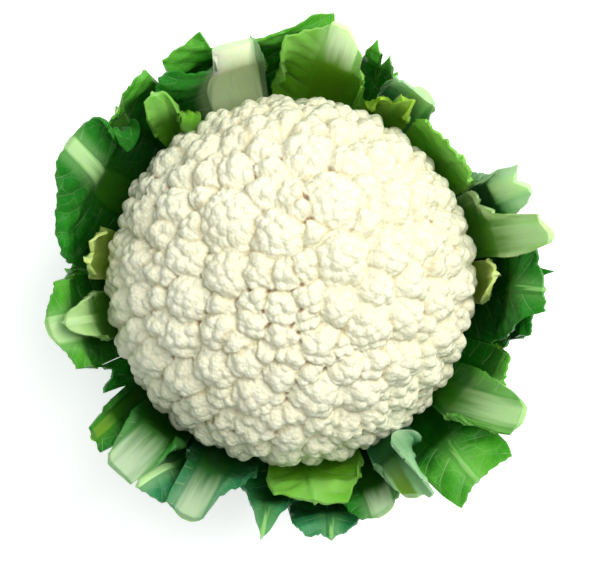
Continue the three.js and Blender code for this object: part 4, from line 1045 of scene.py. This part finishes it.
# %% [markdown]
# ## Floor, light and camera
# The floor is a plain pale plane, much bigger than the view. A white world fills every shadow a
# little, a wide lamp above and to the right shapes the florets, and a weaker one overhead lights
# the bowl between the leaves. Lamps with wide faces give soft shadows. The camera looks straight
# down from two metres, with a long lens, so that the view is nearly free of perspective.

# %% Floor
FLOOR_GLOW = 0.55  # like a light table, so that shadows on the floor stay pale
deselect_all()
bpy.ops.mesh.primitive_plane_add(size=8.0, location=(0, 0, 0))
floor = bpy.context.active_object
floor.name = "pale_floor"


def floor_finish():
    f = Finish("pale_floor")
    mottle = f.remap(f.noise(f.place(), 3.0, 2.0), 0.3, 0.7)
    pale = f.blend(mottle, colour(0.92, 0.92, 0.92), colour(0.94, 0.94, 0.94))
    return f.surface({"Base Color": pale, "Roughness": 0.8, "Emission Color": pale,
                      "Emission Strength": FLOOR_GLOW})


floor.data.materials.append(floor_finish())
print("floor dressed in", floor.data.materials[0].name)

# %% Light
SKY = dict(tint=colour(0.94, 1.0, 0.99), strength=0.38)
AIM = 0.08  # height above the floor that the lamps look at
world = bpy.data.worlds.new("soft_white")
bpy.context.scene.world = world
world.use_nodes = True
world.node_tree.nodes["Background"].inputs["Color"].default_value = SKY["tint"]
world.node_tree.nodes["Background"].inputs["Strength"].default_value = SKY["strength"]


def soft_lamp(name, place, size, watts, tint):
    lamp = bpy.data.lights.new(name, "AREA")
    lamp.energy = watts
    lamp.color = tint
    lamp.size = size
    holder = bpy.data.objects.new(name, lamp)
    bpy.context.collection.objects.link(holder)
    holder.location = place
    x, y, z = place
    holder.rotation_euler = (0, math.atan2(math.hypot(x, y), z - AIM), math.atan2(y, x))
    print("lamp:", name, watts, "W")


soft_lamp("window", (0.92, 0.70, 1.5), 1.4, 38.0, (1.0, 0.98, 0.93))
soft_lamp("ceiling", (0.0, 0.15, 2.4), 1.0, 13.0, (0.97, 1.0, 1.0))

# %% Camera
CAMERA = dict(x=0.00405, y=-0.00045, z=2.0)
SENSOR = 36.0
VIEW_WIDTH = 0.270  # width in metres that the picture takes in at the height of VIEW_LEVEL
VIEW_LEVEL = 0.105
lens = bpy.data.cameras.new("above")
lens.sensor_width = SENSOR
lens.lens = SENSOR * (CAMERA["z"] - VIEW_LEVEL) / VIEW_WIDTH
camera = bpy.data.objects.new("above", lens)
bpy.context.collection.objects.link(camera)
camera.location = (CAMERA["x"], CAMERA["y"], CAMERA["z"])
bpy.context.scene.camera = camera
bpy.context.scene.view_settings.view_transform = "Standard"
print("lens:", round(lens.lens, 1), "mm")
